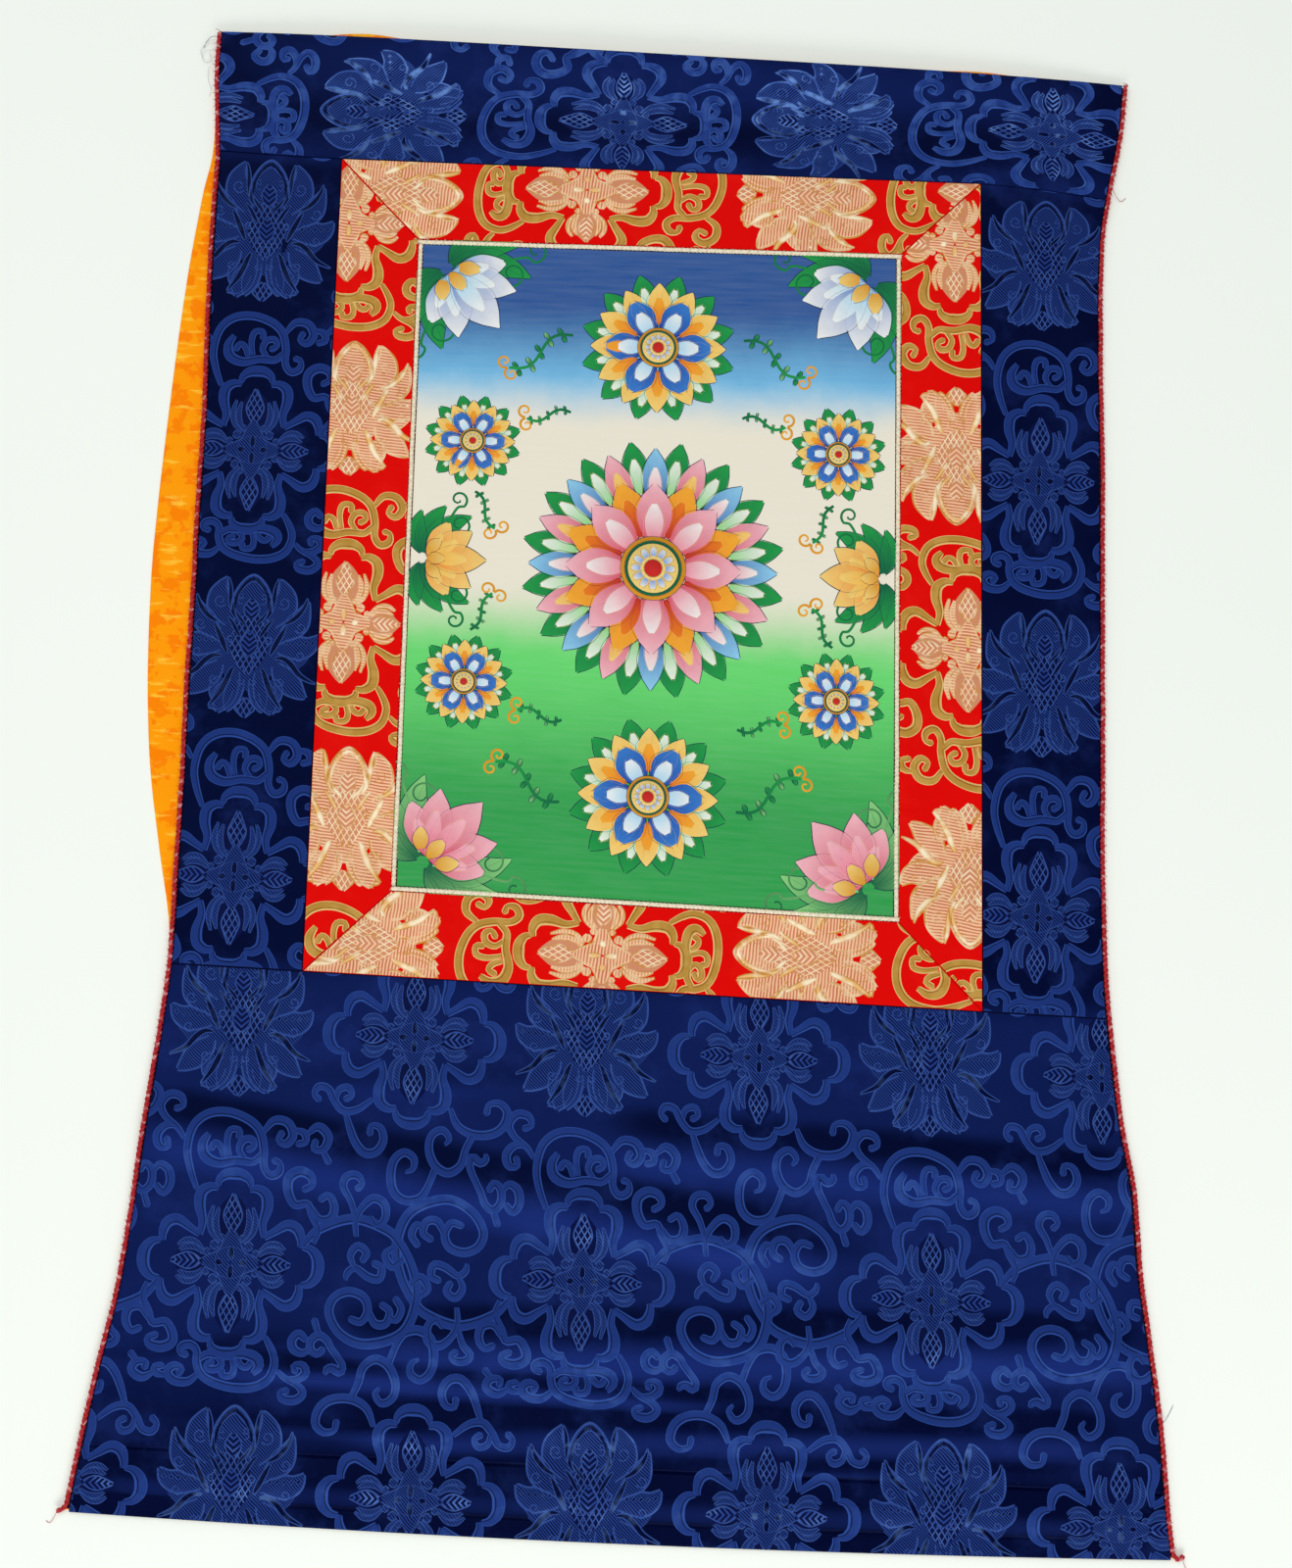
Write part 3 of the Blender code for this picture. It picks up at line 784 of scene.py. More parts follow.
# Vines and curls round the framed flower of the second row, from its middle. Each is drawn
# again half a turn round.
vines = [
    [(-39.5, -10.2, 1.6), (-50, -21, 2.6), (-69, -27.8, 3.0), (-87, -23.2, 3.0), (-95.5, -16.5, 2.8),
     (-103.5, -3, 2.8), (-107, 14, 3.0), (-100, 33, 3.0), (-80, 42, 3.0), (-65, 36, 2.8), (-57.6, 25, 2.8),
     (-60, 16.4, 2.6), (-68, 12.6, 2.6), (-76.5, 15, 2.6), (-79.5, 22, 2.4), (-76, 28.5, 2.2),
     (-70.5, 27.5, 1.4)],
    [(-21.4, 39.3, 1.5), (-26.0, 52.2, 2.1), (-27.9, 64.0, 2.3), (-24.9, 78.1, 2.5), (-16.8, 86.0, 2.7),
     (-5.2, 87.6, 2.7), (6.4, 83.6, 2.6), (13.3, 76.9, 2.5), (16.1, 66.4, 2.4), (16.4, 56.0, 2.2),
     (20.2, 50.4, 2.4), (25.3, 52.6, 2.4), (25.8, 58.1, 1.6), (22.8, 59.5, 1.0)],
    [(-15.6, 74.4, 1.6), (-19.1, 67.5, 2.9), (-17.4, 60.0, 3.4), (-9.8, 56.4, 3.0), (-0.6, 58.4, 2.4),
     (4.6, 58.4, 2.4), (10.2, 58.2, 2.2), (14.8, 62.4, 1.8)],
    [(-6.6, 59.6, 1.4), (-8.7, 66.4, 1.9), (-12.1, 68.7, 1.8), (-14.0, 65.4, 1.0)],
    [(-3.6, 60.6, 1.4), (-5.2, 70.1, 1.8), (-3.6, 76.8, 2.0), (1.3, 77.2, 1.8), (1.7, 73.4, 1.0)],
    [(5.6, 59.4, 1.4), (1.9, 65.2, 1.9), (4.2, 71.1, 2.1), (9.1, 71.8, 2.1), (10.8, 67.7, 1.6),
     (7.8, 65.6, 0.8)],
    [(71.1, 17.6, 1.4), (70.4, 27.5, 1.9), (73.9, 34.6, 2.1), (80.3, 40.1, 2.5), (86.6, 36.9, 2.6),
     (87.1, 28.9, 2.2), (82.2, 24.6, 1.7), (79.2, 28.2, 0.9)],
    [(70.4, 28.2, 1.5), (66.9, 38.1, 1.9), (62.6, 46.4, 2.2), (64.6, 52.5, 2.4), (70.4, 53.6, 2.3),
     (73.5, 48.9, 1.6), (71.1, 45.8, 0.9)],
    [(15.2, 76.6, 1.4), (21.0, 84.0, 2.4), (28.8, 83.2, 2.8), (32.4, 76.0, 2.8), (28.8, 70.2, 2.4),
     (24.2, 72.4, 1.6), (25.8, 76.4, 0.8)],
    [(32.6, 79.2, 1.2), (38.6, 77.6, 2.2), (40.0, 72.4, 2.0), (36.2, 70.8, 1.0)],
    [(40.2, 76.6, 1.2), (46.6, 81.8, 2.6), (52.6, 76.2, 2.8), (50.6, 68.6, 2.4), (45.0, 68.0, 1.8),
     (45.4, 72.4, 0.8)],
    [(50.4, 66.6, 1.6), (53.4, 61.2, 0.9)],
    [(-29.6, 69.6, 1.3), (-33.8, 76.2, 1.8), (-41.5, 82.8, 2.0), (-44.6, 90.0, 2.4), (-40.2, 96.4, 2.6),
     (-33.6, 95.6, 2.4), (-31.6, 90.2, 1.6), (-35.2, 88.2, 0.8)],
    [(-34.0, 77.2, 1.2), (-40.8, 77.4, 2.2), (-45.6, 71.4, 2.6), (-44.0, 64.6, 2.4), (-39.0, 64.6, 1.6),
     (-39.8, 69.0, 0.8)],
    [(46.5, 12.6, 1.4), (49.0, 20.6, 1.9), (45.2, 28.4, 2.1), (42.4, 34.8, 2.2), (35.2, 34.0, 2.5),
     (31.0, 41.2, 2.9), (31.2, 49.4, 3.2), (37.0, 53.8, 3.2), (43.2, 51.8, 2.8), (44.6, 46.4, 2.0),
     (40.6, 43.4, 0.9)],
    [(44.6, 33.2, 1.4), (49.6, 26.6, 2.2), (56.2, 27.6, 2.6), (57.8, 34.2, 2.4), (54.4, 40.4, 2.0),
     (50.2, 38.0, 0.9)],
    [(-58.0, 71.6, 0.9), (-57.2, 68.0, 2.0), (-60.6, 65.2, 2.4), (-65.2, 68.6, 2.6), (-66.4, 62.6, 2.2),
     (-62.6, 53.6, 2.0), (-59.4, 47.2, 2.0), (-57.2, 41.0, 2.2), (-52.6, 37.2, 2.4), (-48.2, 41.6, 2.4),
     (-48.0, 49.6, 2.4), (-52.0, 53.6, 2.2), (-54.4, 49.8, 0.9)],
    [(-47.6, 48.6, 1.2), (-43.6, 53.4, 2.2), (-38.4, 50.4, 2.6), (-37.2, 42.4, 2.6), (-40.8, 36.8, 2.4),
     (-44.4, 40.4, 1.0)],
    [(-52.0, 36.4, 1.8), (-49.6, 29.6, 0.8)],
    [(-66.2, 6.8, 0.9), (-66.8, 2.4, 2.0), (-71.4, -0.6, 2.0), (-78.8, 3.8, 2.4), (-85.2, 4.6, 2.4),
     (-86.4, -1.4, 2.2), (-82.4, -3.6, 1.0)],
    [(-71.6, 0.2, 1.2), (-68.2, -7.2, 2.0), (-72.2, -12.8, 2.4), (-77.4, -9.6, 2.2), (-75.6, -5.4, 0.9)],
    [(-79.6, 21.8, 1.6), (-84.0, 29.0, 2.4), (-90.2, 28.6, 2.4), (-92.0, 22.2, 2.2), (-87.8, 19.0, 1.0)],
    [(-90.8, 23.8, 1.2), (-95.6, 26.8, 2.0), (-98.6, 20.8, 2.2), (-95.4, 15.6, 1.0)],
    [(-93.6, -14.0, 1.2), (-88.2, -8.8, 2.2), (-92.4, -2.4, 2.4), (-97.4, -6.0, 0.9)],
]

# Curls under the framed flower of the first row, from its middle, drawn again half a turn round.
curls = [
    [(-22.6, -36.6, 1.4), (-31.4, -43.1, 2.1), (-39.5, -44.3, 2.3), (-44.9, -38.8, 2.2), (-48.5, -32.4, 2.2),
     (-54.2, -31.2, 2.2), (-56.6, -35.5, 1.7), (-54.2, -38.3, 0.9)],
    [(-44.4, -39.4, 1.3), (-42.6, -32.6, 1.9), (-37.2, -30.8, 2.1), (-34.8, -35.1, 1.6),
     (-37.9, -37.3, 0.9)],
    [(-38.4, -44.8, 1.5), (-35.2, -54.1, 2.2), (-31.5, -61.9, 2.5), (-26.0, -67.4, 2.7), (-19.5, -66.5, 2.6),
     (-15.6, -60.0, 2.4), (-17.6, -53.0, 2.2), (-22.8, -51.8, 1.7), (-23.6, -56.0, 0.9)],
    [(-2.3, -77.3, 0.9), (2.2, -75.1, 1.6), (2.6, -69.3, 2.2), (-3.0, -66.0, 2.4), (-8.6, -70.5, 2.5),
     (-10.3, -79.3, 2.6), (-8.2, -88.6, 2.7), (-1.6, -93.1, 2.7), (6.8, -91.2, 2.4), (11.4, -84.0, 1.9),
     (14.6, -75.5, 1.3)],
    [(22.1, -39.0, 1.4), (26.9, -49.0, 2.3), (36.0, -53.6, 2.6), (46.5, -52.9, 2.7), (53.3, -48.0, 2.7),
     (55.4, -40.0, 2.5), (51.0, -35.2, 2.2), (44.9, -36.0, 1.7), (43.6, -40.6, 0.9)],
    [(19.6, -60.8, 0.9), (22.4, -57.0, 1.7), (18.4, -52.1, 2.2), (12.3, -55.4, 2.3), (10.9, -63.5, 2.4),
     (14.9, -72.3, 2.6), (22.6, -76.1, 2.6), (29.6, -71.4, 2.4), (31.9, -62.8, 2.1), (35.4, -55.2, 1.4)],
]
# The repeat's pitch both ways, how far it leans and how closely its flowers are packed lengthwise,
# then the middles of its lotus and of the framed flowers of both rows.
repeatSize = {"across": 201.4, "down": 257.6, "skew": 0.031, "packed": 0.965}
lotusMiddle = (0.0, -6.5)
firstFlower = (101.0, 0.0)
secondFlower = (1.0, -repeatSize["down"] / 2 - 4.2)
# How vines are broadened, up to what half width, the radius of their heads, and from what height
# over a framed flower they are drawn up, with the share of it that is left above and below.
vineSet = {"broaden": 1.06, "most": 2.8, "head": 2.1, "from": 38.0, "above": 0.93, "below": 0.6}


# A ribbon drawn up where it rises past the frame, since the weave packs it closer there.
def drawnUp(points, share):
    limit = vineSet["from"]
    return [(x, y if y < limit else limit + (y - limit) * share, width) for x, y, width in points]


# The same ribbon a little broader, its last stretch swelling into a round head.
def roundHead(points):
    rows = [(x, y, min(width * vineSet["broaden"], max(width, vineSet["most"]))) for x, y, width in points]
    (fromX, fromY, _), (x, y, _) = rows[-2:]
    reach = math.hypot(x - fromX, y - fromY)
    goX, goY = (x - fromX) / reach, (y - fromY) / reach
    rows[-1] = (x, y, vineSet["head"])
    for ahead, width in ((0.75, 0.8), (1.1, 0.15)):
        reach = ahead * vineSet["head"]
        rows.append((x + goX * reach, y + goY * reach, width * vineSet["head"]))
    return rows


def drawRepeat():
    drawing = newDrawing()
    drawLotus(drawing, *lotusMiddle)
    for x, y in (firstFlower, secondFlower):
        first = len(drawing["points"])
        drawFrame(drawing, x, y)
        drawCross(drawing, x, y)
        for points in drawing["points"][first:]:
            points[:, 1] = y + (points[:, 1] - y) * repeatSize["packed"]
    for flip in (1, -1):
        for vine in vines:
            ribbon = roundHead(drawnUp(vine, vineSet["above" if flip > 0 else "below"]))
            addStroke(drawing, moved(curlInwards(ribbon), *secondFlower, flip, flip), "line", 0.2)
        for curl in curls:
            ribbon = roundHead(curl)
            addStroke(drawing, moved(curlInwards(ribbon), *firstFlower, flip, flip), "line", 0.2)
    return drawing


def figureMesh(name, drawing):
    flat = np.vstack(drawing["points"])
    points = np.column_stack([flat, np.concatenate(drawing["height"])])
    piece = newPiece(name, points, drawing["faces"], [])
    storePoints(piece, "rim", "FLOAT_VECTOR", np.vstack(drawing["rim"]))
    storePoints(piece, "kind", "FLOAT", np.concatenate(drawing["kind"]))
    storePoints(piece, "flower", "FLOAT", np.concatenate(drawing["flower"]))
    return piece


# Where the woven repeat lies on each cut of cloth: the place of its first-row middle, its turn
# in degrees, and how far the cloth stretches it lengthwise, leans it aside and broadens it.
Cut = namedtuple("Cut", "middle turn stretch lean broad", defaults=(1.0, 0.0, 1.0))
cuts = {
    "panel_foot": Cut((-32.4, -290.0), 0),
    "panel_left": Cut((-244.2, 202.6), 0, 1.038, 0.019),
    "panel_right": Cut((239.6, 199.5), 0, 1.017, 0.04),
    "panel_head": Cut((-165.0, 285.5), 90, 1.05, broad=0.9),
    "frame_strip_left": Cut((-186.5, 90.0), 0),
    "frame_strip_right": Cut((184.5, 82.0), 180, 0.985),
    "frame_strip_top": Cut((86.5, 242.0), -90),
    "frame_strip_bottom": Cut((-157.5, -237.0), 90),
}
figureInset = 0.35  # the figures stop this short of a cut's folded edge
repeatReach = {"aside": 110, "above": 60, "below": 300}  # from a repeat's middle
cutMargin = 24.0  # figures this far outside a cut are dropped before it is cut out

# Painted glint on the woven figures' colour: most at the head and on ridges that tip towards the light,
# least down the sides. Past
# "from" it turns to the head's or the foot's over the length "fade".
paintedGlintSet = {"head": 0.3, "foot": 0.08, "sides": 0.0, "frame": 0.5, "tip": 0.9, "from": 250.0, "fade": 12.0}


def paintedFigureGlint(u, v):
    def past(place):
        return smooth((place - paintedGlintSet["from"]) / paintedGlintSet["fade"])

    steep = drape(u, v + 1.0) - drape(u, v - 1.0)
    inFrame = (np.abs(u) < halfFrameWidth) & (np.abs(v) < halfFrameHeight)
    beside = np.where(inFrame, paintedGlintSet["frame"], paintedGlintSet["sides"]) * (1 - past(np.abs(v)))
    ends = past(v) * paintedGlintSet["head"] + past(-v) * paintedGlintSet["foot"]
    return np.clip(ends + beside + paintedGlintSet["tip"] * steep, 0.0, 1.0)


def turnFlat(flat, degrees):
    c, s = round(math.cos(math.radians(degrees))), round(math.sin(math.radians(degrees)))
    return flat @ np.array([[c, s], [-s, c]], float)


def meshPoints(mesh):
    points = np.empty(len(mesh.vertices) * 3, np.float32)
    mesh.vertices.foreach_get("co", points)
    return points.reshape(-1, 3).astype(float)


def cutAlong(shape, point, outward):
    geometry = shape.verts[:] + shape.edges[:] + shape.faces[:]
    bmesh.ops.bisect_plane(
        shape, geom=geometry, plane_co=(*point, 0.0), plane_no=(*outward, 0.0), clear_outer=True
    )


# Cuts along a curved edge by straightening it first: sign is -1 for a left edge, 1 for a right.
def cutAlongEdge(shape, edge, sign):
    for way in (-1, 1):
        v = np.array([vert.co.y for vert in shape.verts])
        for vert, shift in zip(shape.verts, edge(v)):
            vert.co.x += way * shift
        if way < 0:
            cutAlong(shape, (-sign * figureInset, 0.0), (sign, 0.0))


def addFigures(cloth, repeat, uRange, vRange, lines, curves, topHeight, looks):
    cut = cuts[cloth]
    turn, scale = cut.turn, (cut.broad, cut.stretch)
    corners = np.array([(u, v) for u in uRange for v in vRange], float) - cut.middle
    box = turnFlat(corners, -turn) / scale
    pitch = (repeatSize["across"], repeatSize["down"])
    low = np.floor((box.min(axis=0) - (repeatReach["aside"], repeatReach["above"])) / pitch).astype(int)
    high = np.ceil((box.max(axis=0) + (repeatReach["aside"], repeatReach["below"])) / pitch).astype(int)
    count = high - low + 1
    source = figureMesh(cloth + "_figures", repeat)
    grown = growMesh(source, repeatTree, {
        "Across": int(count[0]), "Down": int(count[1]), "Pitch across": pitch[0], "Pitch down": pitch[1],
        "Skew": -repeatSize["skew"], "Scroll look": looks[0], "Flower look": looks[1],
    })
    points = meshPoints(grown.data)
    middleCell = (low + high) / 2 * pitch
    flat = points[:, :2] + middleCell - (repeatSize["skew"] * middleCell[1], 0.0)
    flat = turnFlat(flat * scale, turn) + cut.middle
    flat[:, 0] += cut.lean * (flat[:, 1] - cut.middle[1])
    points[:, :2] = flat
    grown.data.vertices.foreach_set("co", points.astype(np.float32).ravel())
    shape = bmesh.new()
    shape.from_mesh(grown.data)
    outside = [
        vert for vert in shape.verts
        if not (uRange[0] - cutMargin < vert.co.x < uRange[1] + cutMargin
                and vRange[0] - cutMargin < vert.co.y < vRange[1] + cutMargin)
    ]
    bmesh.ops.delete(shape, geom=outside, context="VERTS")
    for point, outward in lines:
        cutAlong(shape, point, outward)
    for edge, sign in curves:
        cutAlongEdge(shape, edge, sign)
    shape.to_mesh(grown.data)
    shape.free()
    points = meshPoints(grown.data)
    flat = points[:, :2]
    laid = lay(flat[:, 0], flat[:, 1], topHeight + points[:, 2])
    grown.data.vertices.foreach_set("co", laid.astype(np.float32).ravel())
    # Each point keeps its share of painted glint.
    storePoints(grown, "paintedSheen", "FLOAT", paintedFigureGlint(flat[:, 0], flat[:, 1]))
    storeCloth(grown, turnFlat(flat - cut.middle, -turn) / scale * mm)
    shadeSmooth(grown)
    grown.data.update()
    return grown


# Steps along a length in mm, closer at both ends where the cloth turns over, as shares of it.
foldSteps = [0.0, 0.12, 0.4, 0.8, 1.6]
foldZone = 3.0
leastStep = 0.05
sharpTurn = math.radians(50)  # a sheet's edges stay sharp from this angle up


def steps(length, pitch, extra=()):
    count = max(2, round((length - 2 * foldZone) / pitch) + 1)
    inner = np.linspace(foldZone, length - foldZone, count)
    every = sorted(set(foldSteps) | set(inner) | {length - fold for fold in foldSteps} | set(extra))
    kept = [every[0]]
    for step in every[1:]:
        if step - kept[-1] > leastStep:
            kept.append(step)
    kept[-1] = length
    return np.array(kept) / length


# A thin closed sheet. place gives u and v for shares across and down; u grows across, v falls.
def addSheet(name, place, across, down, base, thick, looks, dip=None, foldRadius=0.7, paintedSheenAt=None):
    share, fall = np.meshgrid(across, down)
    u, v = place(share, fall)
    rows, columns = u.shape
    fromEdge = np.minimum.reduce([
        np.hypot(u - u[:, :1], v - v[:, :1]), np.hypot(u - u[:, -1:], v - v[:, -1:]),
        np.hypot(u - u[:1], v - v[:1]), np.hypot(u - u[-1:], v - v[-1:]),
    ])
    inFold = np.clip(foldRadius - fromEdge, 0.0, foldRadius)
    drop = foldRadius - np.sqrt(foldRadius**2 - inFold**2)
    top = base + thick - drop - (dip(u, v) if dip else 0.0)
    points = np.vstack([lay(u, v, top).reshape(-1, 3), lay(u, v, base).reshape(-1, 3)])
    count = rows * columns
    index = np.arange(count).reshape(rows, columns)
    a, b, c, d = index[:-1, :-1], index[1:, :-1], index[1:, 1:], index[:-1, 1:]
    upper = np.stack([a, b, c, d], axis=-1).reshape(-1, 4)
    lower = upper[:, ::-1] + count
    ring = np.concatenate([index[:, 0], index[-1, 1:], index[-2::-1, -1], index[0, -2:0:-1]])
    after = np.roll(ring, -1)
    walls = np.stack([ring, ring + count, after + count, after], axis=-1)
    piece = newPiece(name, points, np.vstack([upper, lower, walls]), looks)
    flat = np.stack([u, v], axis=-1).reshape(-1, 2)
    storeCloth(piece, np.vstack([flat, flat]) * mm)
    # The drape's slopes give each point its painted sheen.
    rise = (drape(u, v + 1.0) - drape(u, v - 1.0)) / 2
    side = (drape(u + 1.0, v) - drape(u - 1.0, v)) / 2
    paintedSheen = paintedSheenAt(u, v, rise, side) if paintedSheenAt else np.zeros_like(u)
    storePoints(piece, "paintedSheen", "FLOAT", np.tile(paintedSheen.ravel(), 2))
    piece.data.set_sharp_from_angle(angle=sharpTurn)
    return piece


# The rod hem is marked by a crease along its stitching and one where the foot turns under. That
# one ends short of the long edges.
creases = {"depth": 1.1, "halfWidth": 0.75, "rimDepth": 0.8, "rimHalfSpan": 280.0, "rimFade": 60.0}


def hemDip(u, v):
    hem = creases["depth"] * np.exp(-(((v - hemCrease) / creases["halfWidth"]) ** 2))
    rim = creases["rimDepth"] * np.exp(-(((v - rimCrease) / creases["halfWidth"]) ** 2))
    return hem + rim * smooth((creases["rimHalfSpan"] - np.abs(u)) / creases["rimFade"])


# Painted sheen and shade on the satin's colour: lighter where the cloth tips towards the foot, where the
# light comes from, and darker in painted shade by zone and along the two creases.
# Each zone has its share, where along v it starts and the length over which it comes in.
paintedSheenSet = {
    "level": 0.33, "tip": 2.5, "side": 0.6, "foot": (-0.34, -430.0, 130.0), "head": (-0.46, 240.0, 60.0),
    "beside": (-0.42, 260.0, 20.0, -265.0, 30.0), "hemShadeHalfWidth": 1.3, "rimShadeHalfWidth": 1.1,
}


def paintedSatinSheen(u, v, rise, side):
    foot, footStart, footFade = paintedSheenSet["foot"]
    head, headStart, headFade = paintedSheenSet["head"]
    beside, topStart, topFade, endStart, endFade = paintedSheenSet["beside"]
    # Painted shade by zone: darker at the foot, at the head and down the sides.
    zoneShade = (
        smooth((footStart - v) / footFade) * foot + smooth((v - headStart) / headFade) * head
        + beside * smooth((topStart - v) / topFade) * smooth((v - endStart) / endFade)
    )
    lit = paintedSheenSet["level"] + paintedSheenSet["tip"] * rise + paintedSheenSet["side"] * side
    # Painted shade along the hem crease and the rim crease.
    creaseShade = (
        np.exp(-(((v - hemCrease) / paintedSheenSet["hemShadeHalfWidth"]) ** 2))
        + np.exp(-(((v - rimCrease) / paintedSheenSet["rimShadeHalfWidth"]) ** 2))
    )
    return np.clip(lit + zoneShade - creaseShade, 0.0, 1.0)


# Painted sheen stored on the lining and the red strips: lighter where the cloth tips towards the foot.
def paintedFlatSheen(u, v, rise, side):
    return np.clip(0.5 + paintedSheenSet["tip"] * rise, 0.0, 1.0)


def srgb(red, green, blue):
    def linear(value):
        value = value / 255
        return value / 12.92 if value <= 0.04045 else ((value + 0.055) / 1.055) ** 2.4
    return (linear(red), linear(green), linear(blue), 1.0)


white = srgb(255, 255, 255)


def newLook(name, roughness, level, tint=white):
    look = bpy.data.materials.new(name)
    look.use_nodes = True
    shader = look.node_tree.nodes["Principled BSDF"].inputs
    shader["Roughness"].default_value = roughness
    shader["Specular IOR Level"].default_value = level
    shader["Specular Tint"].default_value = tint
    return look, look.node_tree, shader


def useGroup(tree, group, **links):
    return addNode(tree, "ShaderNodeGroup", {"node_tree": group}, **links).outputs


def mixColour(tree, share, first, second, blend="MIX"):
    settings = {"data_type": "RGBA", "blend_type": blend, "clamp_factor": True}
    node = addNode(tree, "ShaderNodeMix", settings)
    for slot, source in ((0, share), (6, first), (7, second)):
        plug(tree, node.inputs[slot], source)
    return node.outputs[2]


# A colour under further ones, each with the share that it covers.
def layered(tree, colour, *coats):
    for share, coat in coats:
        colour = mixColour(tree, share, colour, coat)
    return colour


# Goes smoothly from 0 to 1 as a value goes from low to high.
def ramp(tree, value, low, high):
    settings = {"interpolation_type": "SMOOTHSTEP"}
    node = addNode(tree, "ShaderNodeMapRange", settings, Value=value, From_Min=low, From_Max=high)
    return node.outputs[0]


def noise(tree, vector, scale, detail=3.0, roughness=0.5):
    sizes = {"Scale": scale, "Detail": detail, "Roughness": roughness}
    return addNode(tree, "ShaderNodeTexNoise", Vector=vector, **sizes).outputs["Fac"]


def objectPlace(tree):
    return addNode(tree, "ShaderNodeTexCoord").outputs["Object"]


def clothPlace(tree):
    return addNode(tree, "ShaderNodeUVMap", {"uv_map": "cloth"}).outputs[0]


def stored(tree, name, output="Fac"):
    return addNode(tree, "ShaderNodeAttribute", {"attribute_name": name}).outputs[output]


# Ends a look with its colour and the fine relief of its weave.
def finishLook(look, tree, shader, colour, height, strength, depth):
    relief = addNode(tree, "ShaderNodeBump", Strength=strength, Distance=depth, Height=height)
    plug(tree, shader["Normal"], relief.outputs[0])
    plug(tree, shader["Base Color"], colour)
    return look


# How far a place on a ribbon is from its left and right edge, and along it, in mm.
def ribbonPlace(tree):
    split = addNode(tree, "ShaderNodeSeparateXYZ", Vector=stored(tree, "rim", "Vector"))
    return [split.outputs[axis] for axis in "XYZ"]


# A shader group that works from a place on the cloth and a few numbers.
def newPattern(name, numbers, outputs):
    inputs = [("Vector", "Vector"), *((label, "Float", value) for label, value in numbers.items())]
    return newGroup("ShaderNodeTree", name, inputs, [(label, "Float") for label in outputs])


# Even stripes across a direction on the cloth, 0 to 1, from their pitch in metres.
def makeStripes():
    numbers = {"Along x": 1.0, "Along y": 0.0, "Pitch": 0.001}
    tree, give, take = newPattern("stripes", numbers, ["Stripe"])
    split = addNode(tree, "ShaderNodeSeparateXYZ", Vector=give["Vector"])
    x = times(tree, split.outputs["X"], give["Along x"])
    y = times(tree, split.outputs["Y"], give["Along y"])
    turn = maths(tree, "DIVIDE", plus(tree, x, y), give["Pitch"])
    wave = maths(tree, "SINE", times(tree, turn, 2 * math.pi))
    plug(tree, take["Stripe"], scaled(tree, wave, 0.5, 0.5))
    return tree


# Twill threads with a little slub and fading, for every cloth here.
def makeTwill(stripes):
    numbers = {"Pitch": 0.0006, "Lean x": 0.7, "Lean y": 0.7}
    tree, give, take = newPattern("twill", numbers, ["Thread", "Fade", "Height"])

    def striped(x, y):
        place = {"Vector": give["Vector"], "Pitch": give["Pitch"]}
        return useGroup(tree, stripes, Along_x=x, Along_y=y, **place)["Stripe"]

    thread = striped(give["Lean x"], give["Lean y"])
    weft = striped(0.0, 1.0)
    slub = noise(tree, give["Vector"], 900.0, 2.0)
    fade = noise(tree, give["Vector"], 14.0, 4.0, 0.6)
    height = scaled(tree, slub, 0.5, plus(tree, thread, times(tree, weft, 0.4)))
    plug(tree, take["Thread"], thread)
    plug(tree, take["Fade"], fade)
    plug(tree, take["Height"], height)
    return tree


# Handling marks: faint rubbed patches and lint.
def makeHandling():
    tree, give, take = newPattern("handling", {"Amount": 0.5}, ["Rubbed", "Lint"])
    patch = ramp(tree, noise(tree, give["Vector"], 22.0, 5.0, 0.65), 0.48, 0.72)
    speck = ramp(tree, noise(tree, give["Vector"], 420.0, 1.0), 0.79, 0.84)
    plug(tree, take["Rubbed"], times(tree, patch, give["Amount"]))
    plug(tree, take["Lint"], times(tree, speck, give["Amount"]))
    return tree


stripes = makeStripes()
twill = makeTwill(stripes)
handling = makeHandling()

# dark and light are the satin's colours at no and at full painted sheen.
groundColours = {
    "navy": {"dark": srgb(0, 1, 34), "light": srgb(26, 45, 118), "rubbed": srgb(30, 48, 116),
             "lint": srgb(80, 90, 140), "level": 0.13, "tint": (0.12, 0.26, 0.8, 1.0), "roughness": 0.46},
    "red": {"dark": srgb(196, 3, 3), "light": srgb(240, 14, 10), "rubbed": srgb(238, 34, 24),
            "lint": srgb(236, 120, 100), "level": 0.1, "tint": (1.0, 0.12, 0.08, 1.0), "roughness": 0.52},
}


# The satin's colour runs from dark to light by its stored painted sheen, with random fade, rubbed patches
# and lint over it.
def makeGround(name, colours):
    look, tree, shader = newLook(name, colours["roughness"], colours["level"], colours["tint"])
    cloth = clothPlace(tree)
    weave = useGroup(tree, twill, Vector=cloth, Pitch=0.00055, Lean_x=0.85, Lean_y=0.5)
    marks = useGroup(tree, handling, Vector=cloth, Amount=0.3)
    share = plus(tree, stored(tree, "paintedSheen"), scaled(tree, weave["Fade"], 0.28, -0.14))
    share = plus(tree, share, scaled(tree, weave["Thread"], 0.1, -0.05))
    colour = layered(
        tree, colours["dark"], (share, colours["light"]), (marks["Rubbed"], colours["rubbed"]),
        (times(tree, marks["Lint"], 0.5), colours["lint"]),
    )
    plug(tree, shader["Roughness"], scaled(tree, weave["Fade"], 0.16, colours["roughness"] - 0.08))
    return finishLook(look, tree, shader, colour, weave["Height"], 0.22, 0.00008)


